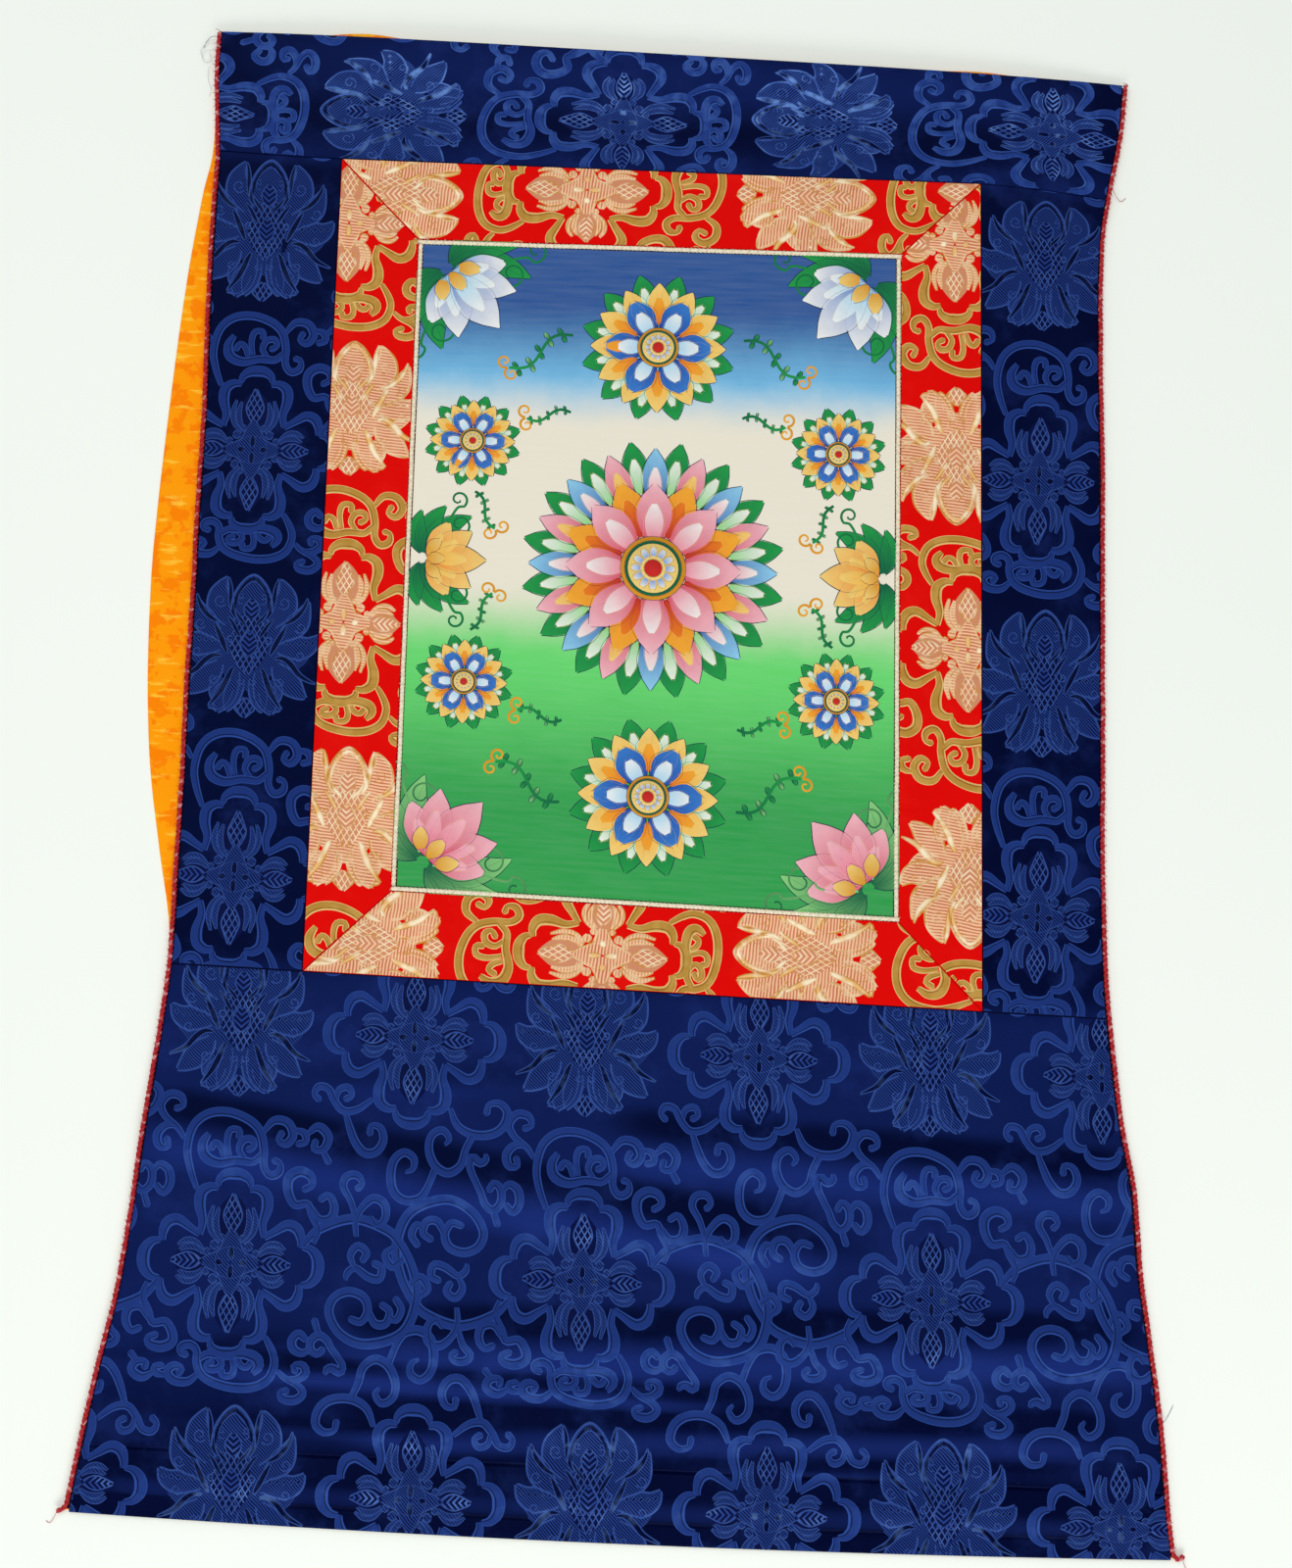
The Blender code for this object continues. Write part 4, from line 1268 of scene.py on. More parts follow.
# shine is a painted highlight colour, laid on in patches by the figures' painted glint share; dim multiplies
# in painted shade where that share is low.
scrollColours = {
    "navy": {"band": srgb(36, 66, 142), "deep": srgb(20, 42, 106), "line": srgb(2, 5, 38),
             "paintedShadeTint": srgb(222, 224, 230), "paintedShine": srgb(70, 104, 176), "paintedShineShare": 0.6,
             "edge": srgb(44, 78, 156), "inner": srgb(48, 82, 160),
             "tint": (0.3, 0.45, 1.0, 1.0), "roughness": 0.68},
    "red": {"band": srgb(196, 152, 62), "deep": srgb(166, 118, 42), "line": srgb(132, 74, 22),
            "paintedShadeTint": srgb(232, 232, 232), "paintedShine": srgb(236, 200, 120), "paintedShineShare": 0.3,
            "edge": srgb(238, 208, 140), "inner": srgb(224, 190, 114),
            "tint": (1.0, 0.85, 0.55, 1.0), "roughness": 0.55},
}


# Vines and frames: a matte band with a dark line along its inner side, with patches of painted shine and
# painted shade where the stored glint share is low.
def makeScrollLook(name, colours):
    look, tree, shader = newLook(name, colours["roughness"], 0.22, colours["tint"])
    cloth = clothPlace(tree)
    paintedLustre = stored(tree, "paintedSheen")
    weave = useGroup(tree, twill, Vector=cloth, Pitch=0.0009)
    fromLeft, fromRight, _ = ribbonPlace(tree)
    wobble = scaled(tree, noise(tree, cloth, 500.0, 2.0), 0.5, -0.25)
    inwards = maths(tree, "DIVIDE", fromRight, plus(tree, fromLeft, fromRight))
    inwards = scaled(tree, wobble, 0.12, inwards)
    line = minus(tree, ramp(tree, inwards, 0.2, 0.25), ramp(tree, inwards, 0.31, 0.36))
    nearest = maths(tree, "MINIMUM", fromLeft, fromRight)
    edge = minus(tree, 1.0, ramp(tree, plus(tree, nearest, wobble), 0.35, 0.7))
    inner = minus(tree, 1.0, ramp(tree, inwards, 0.16, 0.22))
    share = scaled(tree, weave["Thread"], 0.6, scaled(tree, weave["Fade"], 0.5, -0.2))
    patch = ramp(tree, noise(tree, cloth, 95.0, 2.5), 0.42, 0.62)
    paintedShine = times(tree, times(tree, paintedLustre, colours["paintedShineShare"]), patch)
    colour = layered(
        tree, colours["deep"], (share, colours["band"]), (times(tree, inner, 0.55), colours["inner"]),
        (times(tree, edge, 0.7), colours["edge"]), (times(tree, line, 0.85), colours["line"]),
        (paintedShine, colours["paintedShine"]),
    )
    # Painted shade where the glint share is low.
    lit = mixColour(tree, ramp(tree, paintedLustre, -0.1, 0.3), colours["paintedShadeTint"], white)
    colour = mixColour(tree, 1.0, colour, lit, "MULTIPLY")
    return finishLook(look, tree, shader, colour, weave["Height"], 0.3, 0.0001)


# hatch is the direction of the petals' hatching, x and y, and its pitch. glint is a painted glint colour and
# sharp its least share on blades; rim is a painted highlight along petal edges, laid on by
# rimHighlightShare.
flowerColours = {
    "navy": {"dark": srgb(2, 6, 50), "stripe": srgb(36, 62, 136), "line": srgb(50, 78, 148),
             "blade": srgb(0, 2, 44), "back": srgb(3, 9, 60), "lattice": srgb(52, 80, 150),
             "glint": srgb(112, 152, 224), "rim": srgb(42, 68, 136), "rimHighlightShare": 0.25, "glintShare": 0.04,
             "level": 0.12, "tint": (0.25, 0.42, 1.0, 1.0), "roughness": 0.46, "hatch": (0.7, 0.7, 0.0014)},
    "red": {"dark": srgb(200, 112, 78), "stripe": srgb(250, 192, 150), "line": srgb(204, 142, 58),
            "blade": srgb(238, 186, 116), "back": srgb(212, 138, 100), "lattice": srgb(250, 208, 160),
            "glint": srgb(255, 236, 200), "rim": srgb(252, 212, 156), "rimHighlightShare": 0.45, "glintShare": 0.4,
            "level": 0.24, "tint": (1.0, 0.8, 0.6, 1.0), "roughness": 0.42, "hatch": (0.1, 0.99, 0.0019)},
}


# Flowers: hatched petals, latticed and chevroned buds, satin blades and outlines, by kind, with painted
# glints, a painted highlight along petal edges and painted shade, set by the stored glint share.
def makeFlowerLook(name, colours):
    look, tree, shader = newLook(name, colours["roughness"], colours["level"], colours["tint"])
    cloth = clothPlace(tree)
    kind = stored(tree, "kind")
    paintedLustre = stored(tree, "paintedSheen")
    fromLeft, fromRight, length = ribbonPlace(tree)

    def isKind(woven):
        off = maths(tree, "ABSOLUTE", minus(tree, kind, kinds[woven]))
        return maths(tree, "LESS_THAN", off, 0.05)

    def striped(vector, x, y, pitch):
        return useGroup(tree, stripes, Vector=vector, Along_x=x, Along_y=y, Pitch=pitch)["Stripe"]

    wavy = vectorMaths(tree, "ADD", cloth, times(tree, noise(tree, cloth, 60.0, 2.0), 0.0022))
    hatched = striped(wavy, *colours["hatch"])
    lattice = maths(tree, "MAXIMUM", *(striped(cloth, x, 0.5, 0.0031) for x in (0.87, -0.87)))
    offMiddle = maths(tree, "ABSOLUTE", minus(tree, fromLeft, fromRight))
    vee = maths(tree, "SINE", times(tree, scaled(tree, offMiddle, -0.45, length), 2 * math.pi / 3.4))
    glint = ramp(tree, scaled(tree, paintedLustre, 0.1, noise(tree, cloth, 95.0, 2.5)), 0.46, 0.68)
    glintShare = times(tree, glint, scaled(tree, paintedLustre, 1.2, colours["glintShare"]))
    sparkle = times(tree, glint, scaled(tree, paintedLustre, 1.2, 0.12))
    rimHighlight = minus(tree, 1.0, ramp(tree, maths(tree, "MINIMUM", fromLeft, fromRight), 0.9, 1.7))
    bright = mixColour(tree, times(tree, paintedLustre, 0.4), colours["stripe"], colours["lattice"])
    shining = mixColour(tree, sparkle, colours["lattice"], colours["glint"])
    brightVee = mixColour(tree, sparkle, bright, colours["glint"])
    colour = layered(
        tree, colours["dark"], (ramp(tree, hatched, 0.3, 0.7), bright),
        (times(tree, glint, times(tree, paintedLustre, 0.4)), colours["lattice"]),
        (times(tree, rimHighlight, colours["rimHighlightShare"]), colours["rim"]),
        (isKind("back"), colours["back"]),
        (isKind("lattice"), mixColour(tree, ramp(tree, lattice, 0.84, 0.95), colours["back"], shining)),
        (isKind("blade"), mixColour(tree, glintShare, colours["blade"], colours["glint"])),
        (isKind("chevron"), mixColour(tree, ramp(tree, vee, 0.1, 0.5), colours["back"], brightVee)),
        (isKind("line"), mixColour(tree, times(tree, glintShare, 0.6), colours["line"], colours["glint"])),
    )
    # Painted shade where the glint share is low, mixed with random tone.
    shade = scaled(tree, paintedLustre, 0.9, times(tree, noise(tree, cloth, 16.0, 3.0), 0.7))
    shade = mixColour(tree, shade, srgb(206, 208, 214), white)
    colour = mixColour(tree, 1.0, colour, shade, "MULTIPLY")
    plug(tree, shader["Roughness"], scaled(tree, isKind("blade"), -0.16, colours["roughness"]))
    return finishLook(look, tree, shader, colour, hatched, 0.35, 0.00012)


navyGround = makeGround("navySatin", groundColours["navy"])
redGround = makeGround("redSatin", groundColours["red"])
navyLooks = (
    makeScrollLook("navyTwillVines", scrollColours["navy"]),
    makeFlowerLook("navyHatchedFlowers", flowerColours["navy"]),
)
redLooks = (
    makeScrollLook("goldVines", scrollColours["red"]),
    makeFlowerLook("copperFlowers", flowerColours["red"]),
)


def makeLiningLook():
    look, tree, shader = newLook("orangeSilk", 0.45, 0.25, (1.0, 0.5, 0.05, 1.0))
    cloth = clothPlace(tree)
    weave = useGroup(tree, twill, Vector=cloth, Pitch=0.0005, Lean_x=1.0, Lean_y=0.05)
    figure = ramp(tree, noise(tree, cloth, 74.0, 3.5, 0.6), 0.5, 0.56)
    # Streaks of painted highlight along the silk.
    streaks = addNode(tree, "ShaderNodeMapping", Vector=cloth, Scale=(60.0, 260.0, 1.0))
    paintedShine = ramp(tree, noise(tree, streaks.outputs[0], 1.0, 3.0), 0.56, 0.7)
    colour = layered(
        tree, srgb(255, 140, 2), (weave["Fade"], srgb(255, 168, 14)),
        (times(tree, figure, 0.6), srgb(250, 110, 0)), (times(tree, paintedShine, 0.6), srgb(255, 214, 70)),
    )
    return finishLook(look, tree, shader, colour, weave["Height"], 0.3, 0.0001)


yarnColours = {
    "piping": {"pale": srgb(208, 18, 32), "deep": srgb(128, 2, 16), "fleck": srgb(244, 186, 186),
               "fleckShare": 0.5},
    "cord": {"pale": srgb(252, 244, 222), "deep": srgb(222, 204, 162), "fleck": srgb(255, 252, 240),
             "fleckShare": 0.3},
}


def makeYarnLook(name, colours):
    look, tree, shader = newLook(name, 0.62, 0.4)
    place = objectPlace(tree)
    fibre = noise(tree, place, 1500.0, 3.0)
    # Pale flecks come about every 7.4 mm along the yarn, in patches.
    beat = maths(tree, "SINE", times(tree, stored(tree, "lengthwise"), 2 * math.pi / 0.0074))
    patch = ramp(tree, noise(tree, place, 300.0, 2.0), 0.45, 0.6)
    marks = times(tree, ramp(tree, beat, 0.35, 0.75), patch)
    colour = layered(
        tree, colours["deep"], (fibre, colours["pale"]),
        (times(tree, marks, colours["fleckShare"]), colours["fleck"]),
    )
    return finishLook(look, tree, shader, colour, fibre, 0.5, 0.00025)


liningLook = makeLiningLook()
pipingLook = makeYarnLook("redPipingYarn", yarnColours["piping"])
cordLook = makeYarnLook("creamCordYarn", yarnColours["cord"])


def makeThreadLook(name, colour):
    look, tree, shader = newLook(name, 0.7, 0.2)
    place = objectPlace(tree)
    darker = tuple(channel * 0.6 for channel in colour[:3]) + (1.0,)
    plug(tree, shader["Base Color"], mixColour(tree, noise(tree, place, 900.0, 2.0), darker, colour))
    return look


redThread = makeThreadLook("redThread", srgb(190, 30, 46))
navyThread = makeThreadLook("navyThread", srgb(20, 28, 80))
creamThread = makeThreadLook("creamThread", srgb(240, 232, 205))
paleThread = makeThreadLook("paleThread", srgb(226, 228, 232))
# Seam allowances are coloured dark as painted shade in the seams.
navySeamShade = makeThreadLook("navySeamAllowanceShade", srgb(4, 8, 36))
redSeamShade = makeThreadLook("redSeamAllowanceShade", srgb(120, 14, 12))
print("looks ready")


# The lining bows out on the left and peeps over the head edge in two slivers.
def liningPlace(share, fall):
    v = mix(headEdge - liningInset, footEdge + liningInset, fall)
    left = along(edges, "liningLeft", v)
    right = rightEdge(v) + pipingDiameter - gap
    u = mix(left, right, share)
    peep = sum(s.reach * (1 - smooth(np.abs(u - s.u) / s.halfLength)) for s in slivers)
    return u, v + peep * smooth(1.0 - fall / sliverFade)


lining = addSheet(
    "lining", liningPlace, steps(620.0, 9.0), steps(headEdge - footEdge, 5.0), 0.0, liningThick,
    [liningLook], foldRadius=0.4, paintedSheenAt=paintedFlatSheen,
)
finishNode(lining, "lining")

seam = gap / 2
frontTop = frontBase + panelThick
repeat = drawRepeat()


# A cut of brocade on the lining, with its woven figures.
def makeCut(name, sheet, thick, looks, limits, lines, curves):
    finishNode(sheet, name)
    woven = addFigures(name, repeat, *limits, lines, curves, frontBase + thick, looks)
    finishPiece(woven)


# Navy panels lie between two curved or straight edges.
def panelPlace(left, right, vTop, vBottom):
    def place(share, fall):
        v = mix(vTop, vBottom, fall)
        return mix(left(v), right(v), share), v
    return place


def straight(u):
    return lambda v: np.full_like(v, u)


def creaseRows(vTop):
    offsets = (-2.6, -1.5, -0.9, -0.45, 0.0, 0.45, 0.9, 1.5, 2.6)
    return [vTop - crease + offset for crease in (hemCrease, rimCrease) for offset in offsets]


# A panel's left and right edges, its top and bottom, the length and pitch of its steps across and
# down, the rows it also needs, its flat size in metres and its area.
footTop = -halfFrameHeight - seam
besideTop = halfFrameHeight - seam
panels = {
    "panel_head": (leftEdge, rightEdge, headEdge, halfFrameHeight + seam, 575.0, 3.0, (),
                   (0.575, 0.075), 0.0426),
    "panel_left": (leftEdge, straight(-halfFrameWidth - seam), besideTop, -besideTop, 76.0, 3.5, (),
                   (0.076, 0.510), 0.0379),
    "panel_right": (straight(halfFrameWidth + seam), rightEdge, besideTop, -besideTop, 73.0, 3.5, (),
                    (0.073, 0.510), 0.0371),
    "panel_foot": (leftEdge, rightEdge, footTop, footEdge, 600.0, 3.0, creaseRows(footTop),
                   (0.623, 0.311), 0.181),
}
for name, (left, right, vTop, vBottom, width, rowPitch, extra, flat, area) in panels.items():
    sheet = addSheet(
        name, panelPlace(left, right, vTop, vBottom), steps(width, 4.5),
        steps(vTop - vBottom, rowPitch, extra), frontBase, panelThick, [navyGround],
        dip=hemDip if name == "panel_foot" else None, paintedSheenAt=paintedSatinSheen,
    )
    v = np.linspace(vBottom, vTop, 60)
    limits = (float(left(v).min()), float(right(v).max())), (vBottom, vTop)
    lines = [((0.0, vTop - figureInset), (0, 1)), ((0.0, vBottom + figureInset), (0, -1))]
    curves = [(left, -1), (right, 1)]
    makeCut(name, sheet, panelThick, navyLooks, limits, lines, curves)
print("navy panels ready")

mitreGap = seam * math.sqrt(2)  # the strips of the red frame are mitred at its corners


# How far a strip on this side, or both ends of one that passes it, reaches from the middle.
def sideRange(side, inner, outer):
    return sorted((side * inner, side * outer)) if side else (-outer, outer)


def stripPlace(uRange, vRange, isLevel):
    def place(share, fall):
        if isLevel:
            v = mix(vRange[1] - seam, vRange[0] + seam, fall)
            reach = np.abs(v) - mitre - mitreGap / 2
            return mix(-reach, reach, share), v
        u = mix(uRange[0] + seam, uRange[1] - seam, share)
        reach = np.abs(u) + mitre - mitreGap / 2
        return u, mix(reach, -reach, fall)
    return place


# The two mitred ends of the strip on one side of the painting, sideU or sideV being 1 or -1.
def mitreLines(sideU, sideV):
    lines = []
    for sign in (-1, 1):
        signU, signV = sideU or sign, sideV or sign
        outward = (signU, -signV) if sideV else (-signU, signV)
        point = (signU * halfPaintingWidth - outward[0] * figureInset,
                 signV * halfPaintingHeight - outward[1] * figureInset)
        lines.append((point, outward))
    return lines


# The side that each strip is on, then the length of its steps across and down, its flat size in
# metres and its area for a level strip and an upright one.
strips = {
    "frame_strip_top": (0, 1), "frame_strip_bottom": (0, -1), "frame_strip_left": (-1, 0),
    "frame_strip_right": (1, 0),
}
levelStrip = (500.0, 50.0, (0.400, 0.050), 0.0174)
uprightStrip = (50.0, 510.0, (0.050, 0.5106), 0.0229)
for name, (sideU, sideV) in strips.items():
    uRange = sideRange(sideU, halfPaintingWidth, halfFrameWidth)
    vRange = sideRange(sideV, halfPaintingHeight, halfFrameHeight)
    width, length, flat, area = levelStrip if sideV else uprightStrip
    sheet = addSheet(
        name, stripPlace(uRange, vRange, sideV != 0), steps(width, 5.0), steps(length, 5.0), frontBase,
        stripThick, [redGround], paintedSheenAt=paintedFlatSheen,
    )
    inset = seam + figureInset
    lines = mitreLines(sideU, sideV) + [
        ((uRange[0] + inset, 0.0), (-1, 0)), ((uRange[1] - inset, 0.0), (1, 0)),
        ((0.0, vRange[0] + inset), (0, -1)), ((0.0, vRange[1] - inset), (0, 1)),
    ]
    limits = (uRange, vRange)
    makeCut(name, sheet, stripThick, redLooks, limits, lines, [])
print("frame strips ready")

# Seam allowances are turned under; coloured dark, they give painted shade as thin dark lines in the seams
# between the sheets.
tape = {"halfWidth": 1.4, "from": 0.08, "to": 0.18, "step": 3.0}


# Ribbons just over the lining, one for each path, joined in one piece.
def seamAllowances(name, paths, look):
    points, faces = [], []
    for path in paths:
        rows = smoothPath(path, tape["step"]) if len(path) == 2 else np.array(path, float)
        left = leftOf(rows) * tape["halfWidth"]
        count, first = len(rows), sum(map(len, points))
        for side, height in ((-1, "to"), (1, "to"), (1, "from"), (-1, "from")):
            flat = rows + left * side
            points.append(lay(flat[:, 0], flat[:, 1], liningThick + tape[height]))
        for rail in range(4):
            a, b = first + rail * count, first + (rail + 1) % 4 * count
            faces += [(a + k, a + k + 1, b + k + 1, b + k) for k in range(count - 1)]
        for end in (0, count - 1):
            cap = [first + rail * count + end for rail in range(4)]
            faces.append(cap if end == 0 else cap[::-1])
    return finishPiece(newPiece(name, np.vstack(points), faces, [look]))


def besideEdges():
    v = np.arange(headEdge - 1.0, footEdge + 1.0, -tape["step"])
    return [np.stack([edge(v) + out * seam, v], axis=1) for edge, out in ((leftEdge, -1), (rightEdge, 1))]


def boxLines(halfU, halfV):
    return [[(-halfU, halfV), (halfU, halfV)], [(-halfU, -halfV), (halfU, -halfV)],
            [(-halfU, halfV), (-halfU, -halfV)], [(halfU, halfV), (halfU, -halfV)]]


def edgeToEdge(v):
    return [(float(leftEdge(v)), v), (float(rightEdge(v)), v)]


mitres = [
    [(signU * halfPaintingWidth, signV * halfPaintingHeight),
     (signU * halfFrameWidth, signV * halfFrameHeight)]
    for signU, signV in quarters
]
seamAllowances(
    "navy_seam_allowances",
    [edgeToEdge(halfFrameHeight), edgeToEdge(-halfFrameHeight),
     *boxLines(halfFrameWidth, halfFrameHeight)[2:], *besideEdges()],
    navySeamShade,
)
seamAllowances(
    "red_seam_allowances",
    mitres + boxLines(halfPaintingWidth, halfPaintingHeight)
    + boxLines(halfPaintingWidth - cordDiameter - seam, halfPaintingHeight - cordDiameter - seam),
    redSeamShade,
)
print("seam allowances ready")

# The painted canvas has lotus rosettes with sprays and tendrils between.
paint = {
    "ink": srgb(26, 34, 70), "deepBlue": srgb(26, 66, 160), "blue": srgb(60, 128, 205),
    "paleBlue": srgb(150, 212, 240), "white": srgb(250, 248, 240), "pink": srgb(236, 104, 134),
    "rose": srgb(214, 44, 88), "blush": srgb(250, 190, 196), "red": srgb(206, 40, 34),
    "orange": srgb(243, 132, 30), "amber": srgb(250, 176, 52), "gold": srgb(222, 150, 34),
    "paleGold": srgb(250, 214, 122), "green": srgb(34, 160, 72), "deepGreen": srgb(12, 104, 66),
    "paleGreen": srgb(142, 214, 128),
}


def paintStroke(drawing, points, first, last=None, height=0.06, step=3.0):
    colours = (paint[first][:3], paint[last or first][:3])
    addStroke(drawing, points, "fill", height, step=step, colours=colours)


def paintOutline(drawing, points, width=0.32, colour="ink", height=0.12):
    for edge in edgesOf(points, width, 2.0):
        paintStroke(drawing, edge, colour, height=height, step=2.0)


# A flat round band with its edges sunk, or a disc where inner is next to nothing.
def paintBand(drawing, u, v, inner, outer, colour, height, count=32):
    lip = min(0.25, (outer - inner) / 3)
    angles = np.linspace(0.0, 2 * math.pi, count, endpoint=False)
    circle = np.stack([np.cos(angles), np.sin(angles)], axis=1)
    start = drawing["count"]
    for radius, raised in ((inner, inner < 0.1), (inner + lip, True), (outer - lip, True), (outer, False)):
        drawing["points"].append(circle * radius + (u, v))
        drawing["height"].append(np.full(count, height if raised else -sunk))
        drawing["colour"].append(np.tile(np.array(paint[colour][:3]), (count, 1)))
    for band in range(3):
        for k in range(count):
            a, b = start + band * count + k, start + band * count + (k + 1) % count
            drawing["faces"].append((a, a + count, b + count, b))
    drawing["count"] += 4 * count


# A leaf or petal on a stem point, heading in degrees, belly where it is widest.
def petalPoints(u, v, heading, length, halfWidth, belly=0.5, bend=0.0):
    profile = (
        (0.0, 0.18), (belly * 0.5, 0.8), (belly, 1.0), ((1 + belly) / 2, 0.66), (0.93, 0.22), (1.0, 0.02),
    )
    rows = []
    for t, share in profile:
        angle = math.radians(heading + bend * t)
        rows.append((u + length * t * math.cos(angle), v + length * t * math.sin(angle), halfWidth * share))
    return rows


def paintPetal(
    drawing, u, v, heading, length, halfWidth, base, tip, belly=0.5, bend=0.0, height=0.06, heart=None
):
    points = petalPoints(u, v, heading, length, halfWidth, belly, bend)
    paintStroke(drawing, points, base, tip, height)
    paintOutline(drawing, points, height=height + 0.05)
    if heart:
        inner = petalPoints(u, v, heading, length * 0.72, halfWidth * 0.52, belly, bend)
        paintStroke(drawing, inner, heart[0], heart[1], height + 0.03)
        paintOutline(drawing, inner, 0.22, "paleGold", height + 0.07)


def around(count, first=90.0):
    return [first + 360.0 * k / count for k in range(count)]


def onRing(u, v, radius, heading):
    angle = math.radians(heading)
    return u + radius * math.cos(angle), v + radius * math.sin(angle)


# Petal rings of a rosette, from the outermost in: how many, the first heading, where they start,
# their length and half width, and by turns base, tip, heart base and heart tip.
Petals = namedtuple("Petals", "count first start length halfWidth tints")
bigRings = [
    Petals(16, 101.25, 46, 35, 8.2, [("deepGreen", "green", "paleGreen", "white")]),
    Petals(16, 90.0, 38, 38, 8.6, [("deepBlue", "paleBlue", "pink", "white"),
                                   ("rose", "blush", "orange", "paleGold")]),
    Petals(8, 112.5, 20, 38, 10.5, [("orange", "amber", "red", "orange")]),
    Petals(8, 90.0, 14, 40, 12.5, [("rose", "blush", "pink", "white")]),
]
smallRings = [
    Petals(12, 105.0, 34, 42, 11.5, [("deepGreen", "green", "paleGreen", "white")]),
    Petals(12, 90.0, 22, 44, 12.5, [("amber", "paleGold", "orange", "amber")]),
    Petals(6, 120.0, 12, 42, 16.0, [("deepBlue", "blue", "paleBlue", "white")]),
]
Rosette = namedtuple("Rosette", "u v size rings")
rosettes = [
    Rosette(0, 0, 1.0, bigRings),
    *(Rosette(0, v, 0.64, smallRings) for v in (140, -140)),
    *(Rosette(u, v, 0.4, smallRings) for v in (76, -76) for u in (-112, 112)),
]


def paintRosette(drawing, u, v, size, rings):
    height = 0.06
    for ring in rings:
        for k, heading in enumerate(around(ring.count, ring.first)):
            x, y = onRing(u, v, ring.start * size, heading)
            base, tip, *heart = ring.tints[k % len(ring.tints)]
            paintPetal(drawing, x, y, heading, ring.length * size, ring.halfWidth * size, base, tip, 0.55,
                       height=height, heart=heart)
        height += 0.05
    for radius, colour in ((20.0, "gold"), (17.4, "deepGreen"), (15.6, "paleGold"), (5.6, "red")):
        height += 0.03
        paintBand(drawing, u, v, 0.05, radius * size, colour, height)
        paintBand(drawing, u, v, radius * size - 0.3, radius * size + 0.3, "ink", height + 0.02)
    for heading in around(12):
        x, y = onRing(u, v, 5.4 * size, heading)
        paintPetal(drawing, x, y, heading, 9.6 * size, 2.6 * size, "blue", "white", 0.55, height=height)


# A wavy stem with paired leaves and a curl at its end, between two places.
def paintTendril(drawing, start, end, swing):
    way = np.array(end, float) - start
    reach = np.hypot(*way)
    aside = np.array((-way[1], way[0])) / reach

    def at(t):
        return start + way * t + aside * swing * math.sin(2 * math.pi * t)

    heading = math.degrees(math.atan2(way[1], way[0]))
    for k, t in enumerate(np.linspace(0.12, 0.88, 5)):
        for side in (-1, 1):
            paintPetal(drawing, *at(t), heading + side * 58, reach * 0.13, reach * 0.034, "deepGreen",
                       ("green", "paleGreen")[k % 2], bend=side * 24, height=0.05)
    stem = [(*at(t), 1.0) for t in np.linspace(0.0, 1.0, 9)]
    paintStroke(drawing, stem, "deepGreen", "green", 0.12, step=2.5)
    for side in (-1, 1):
        x, y = end + aside * side * 4.6
        curl = spiral(x, y, 4.6, heading - side * 90, side * 1.25, 0.85)
        paintStroke(drawing, curl, "gold", "amber", 0.1, step=1.5)


# A lotus with leaves and tendrils, standing on (u, v) and heading the given way. petals are the
# tints of their base, tip and heart, leaves those of base and tip.
def paintSpray(drawing, u, v, heading, size, petals, leaves):
    def at(ahead, aside):
        a = math.radians(heading)
        return (u + size * (ahead * math.cos(a) - aside * math.sin(a)),
                v + size * (ahead * math.sin(a) + aside * math.cos(a)))

    for side in (-1, 1):
        for reach, turn, broad in ((30, 92, 6.0), (34, 66, 6.4), (25, 118, 5.0)):
            x, y = at(1, 2 * side)
            paintPetal(
                drawing, x, y, heading + side * turn, reach * size, broad * size, *leaves, 0.5,
                bend=-side * 26,
            )
            vein = petalPoints(x, y, heading + side * turn, reach * size * 0.9, 1, 0.5, -side * 26)
            vein = [(px, py, 0.25) for px, py, _ in vein]
            paintStroke(drawing, vein, "deepGreen", height=0.12, step=2.5)
        for ahead, aside, swing, radius in ((20, 19, 150, 7.0), (19, 33, 100, 5.4)):
            x, y = at(ahead, aside * side)
            curl = spiral(x, y, radius * size, heading - side * swing, side * 1.3, 0.9)
            stem = [(*at(2, 3 * side), 0.9), (*at(9, 11 * side), 0.9)]
            paintStroke(drawing, stem + curl, leaves[1], leaves[0], 0.1, step=1.8)
    base, tip, heart = petals
    for side, turn, reach, broad in (
        (1, 62, 24, 6.2), (-1, 62, 24, 6.2), (1, 34, 28, 7.0), (-1, 34, 28, 7.0), (1, 0, 31, 8.0),
    ):
        x, y = at(4, 0)
        paintPetal(
            drawing, x, y, heading + side * turn, reach * size, broad * size, base, tip, 0.55,
            height=0.12 + 0.02 * (62 - turn) / 31, heart=(heart, tip),
        )
    for side in (-1, 0, 1):
        x, y = at(3, 3.6 * side)
        paintPetal(
            drawing, x, y, heading + side * 42, 11 * size, 3.4 * size, "gold", "paleGold", height=0.24
        )


blueTints = ("blue", "white", "paleBlue")
roseTints = ("rose", "blush", "pink")
orangeTints = ("orange", "paleGold", "amber")
sprays = [
    (-133, 188, -48, 1.5, blueTints, ("deepGreen", "green")),
    (133, 188, -132, 1.5, blueTints, ("deepGreen", "green")),
    (-133, -188, 48, 1.5, roseTints, ("deepGreen", "paleGreen")),
    (133, -188, 132, 1.5, roseTints, ("deepGreen", "paleGreen")),
    (-141, 0, 0, 1.15, orangeTints, ("deepGreen", "green")),
    (141, 0, 180, 1.15, orangeTints, ("deepGreen", "green")),
]
tendrils = [((52, 146), (92, 124), 5.0), ((110, 44), (96, 20), -2.5), ((52, 96), (80, 92), 3.0)]


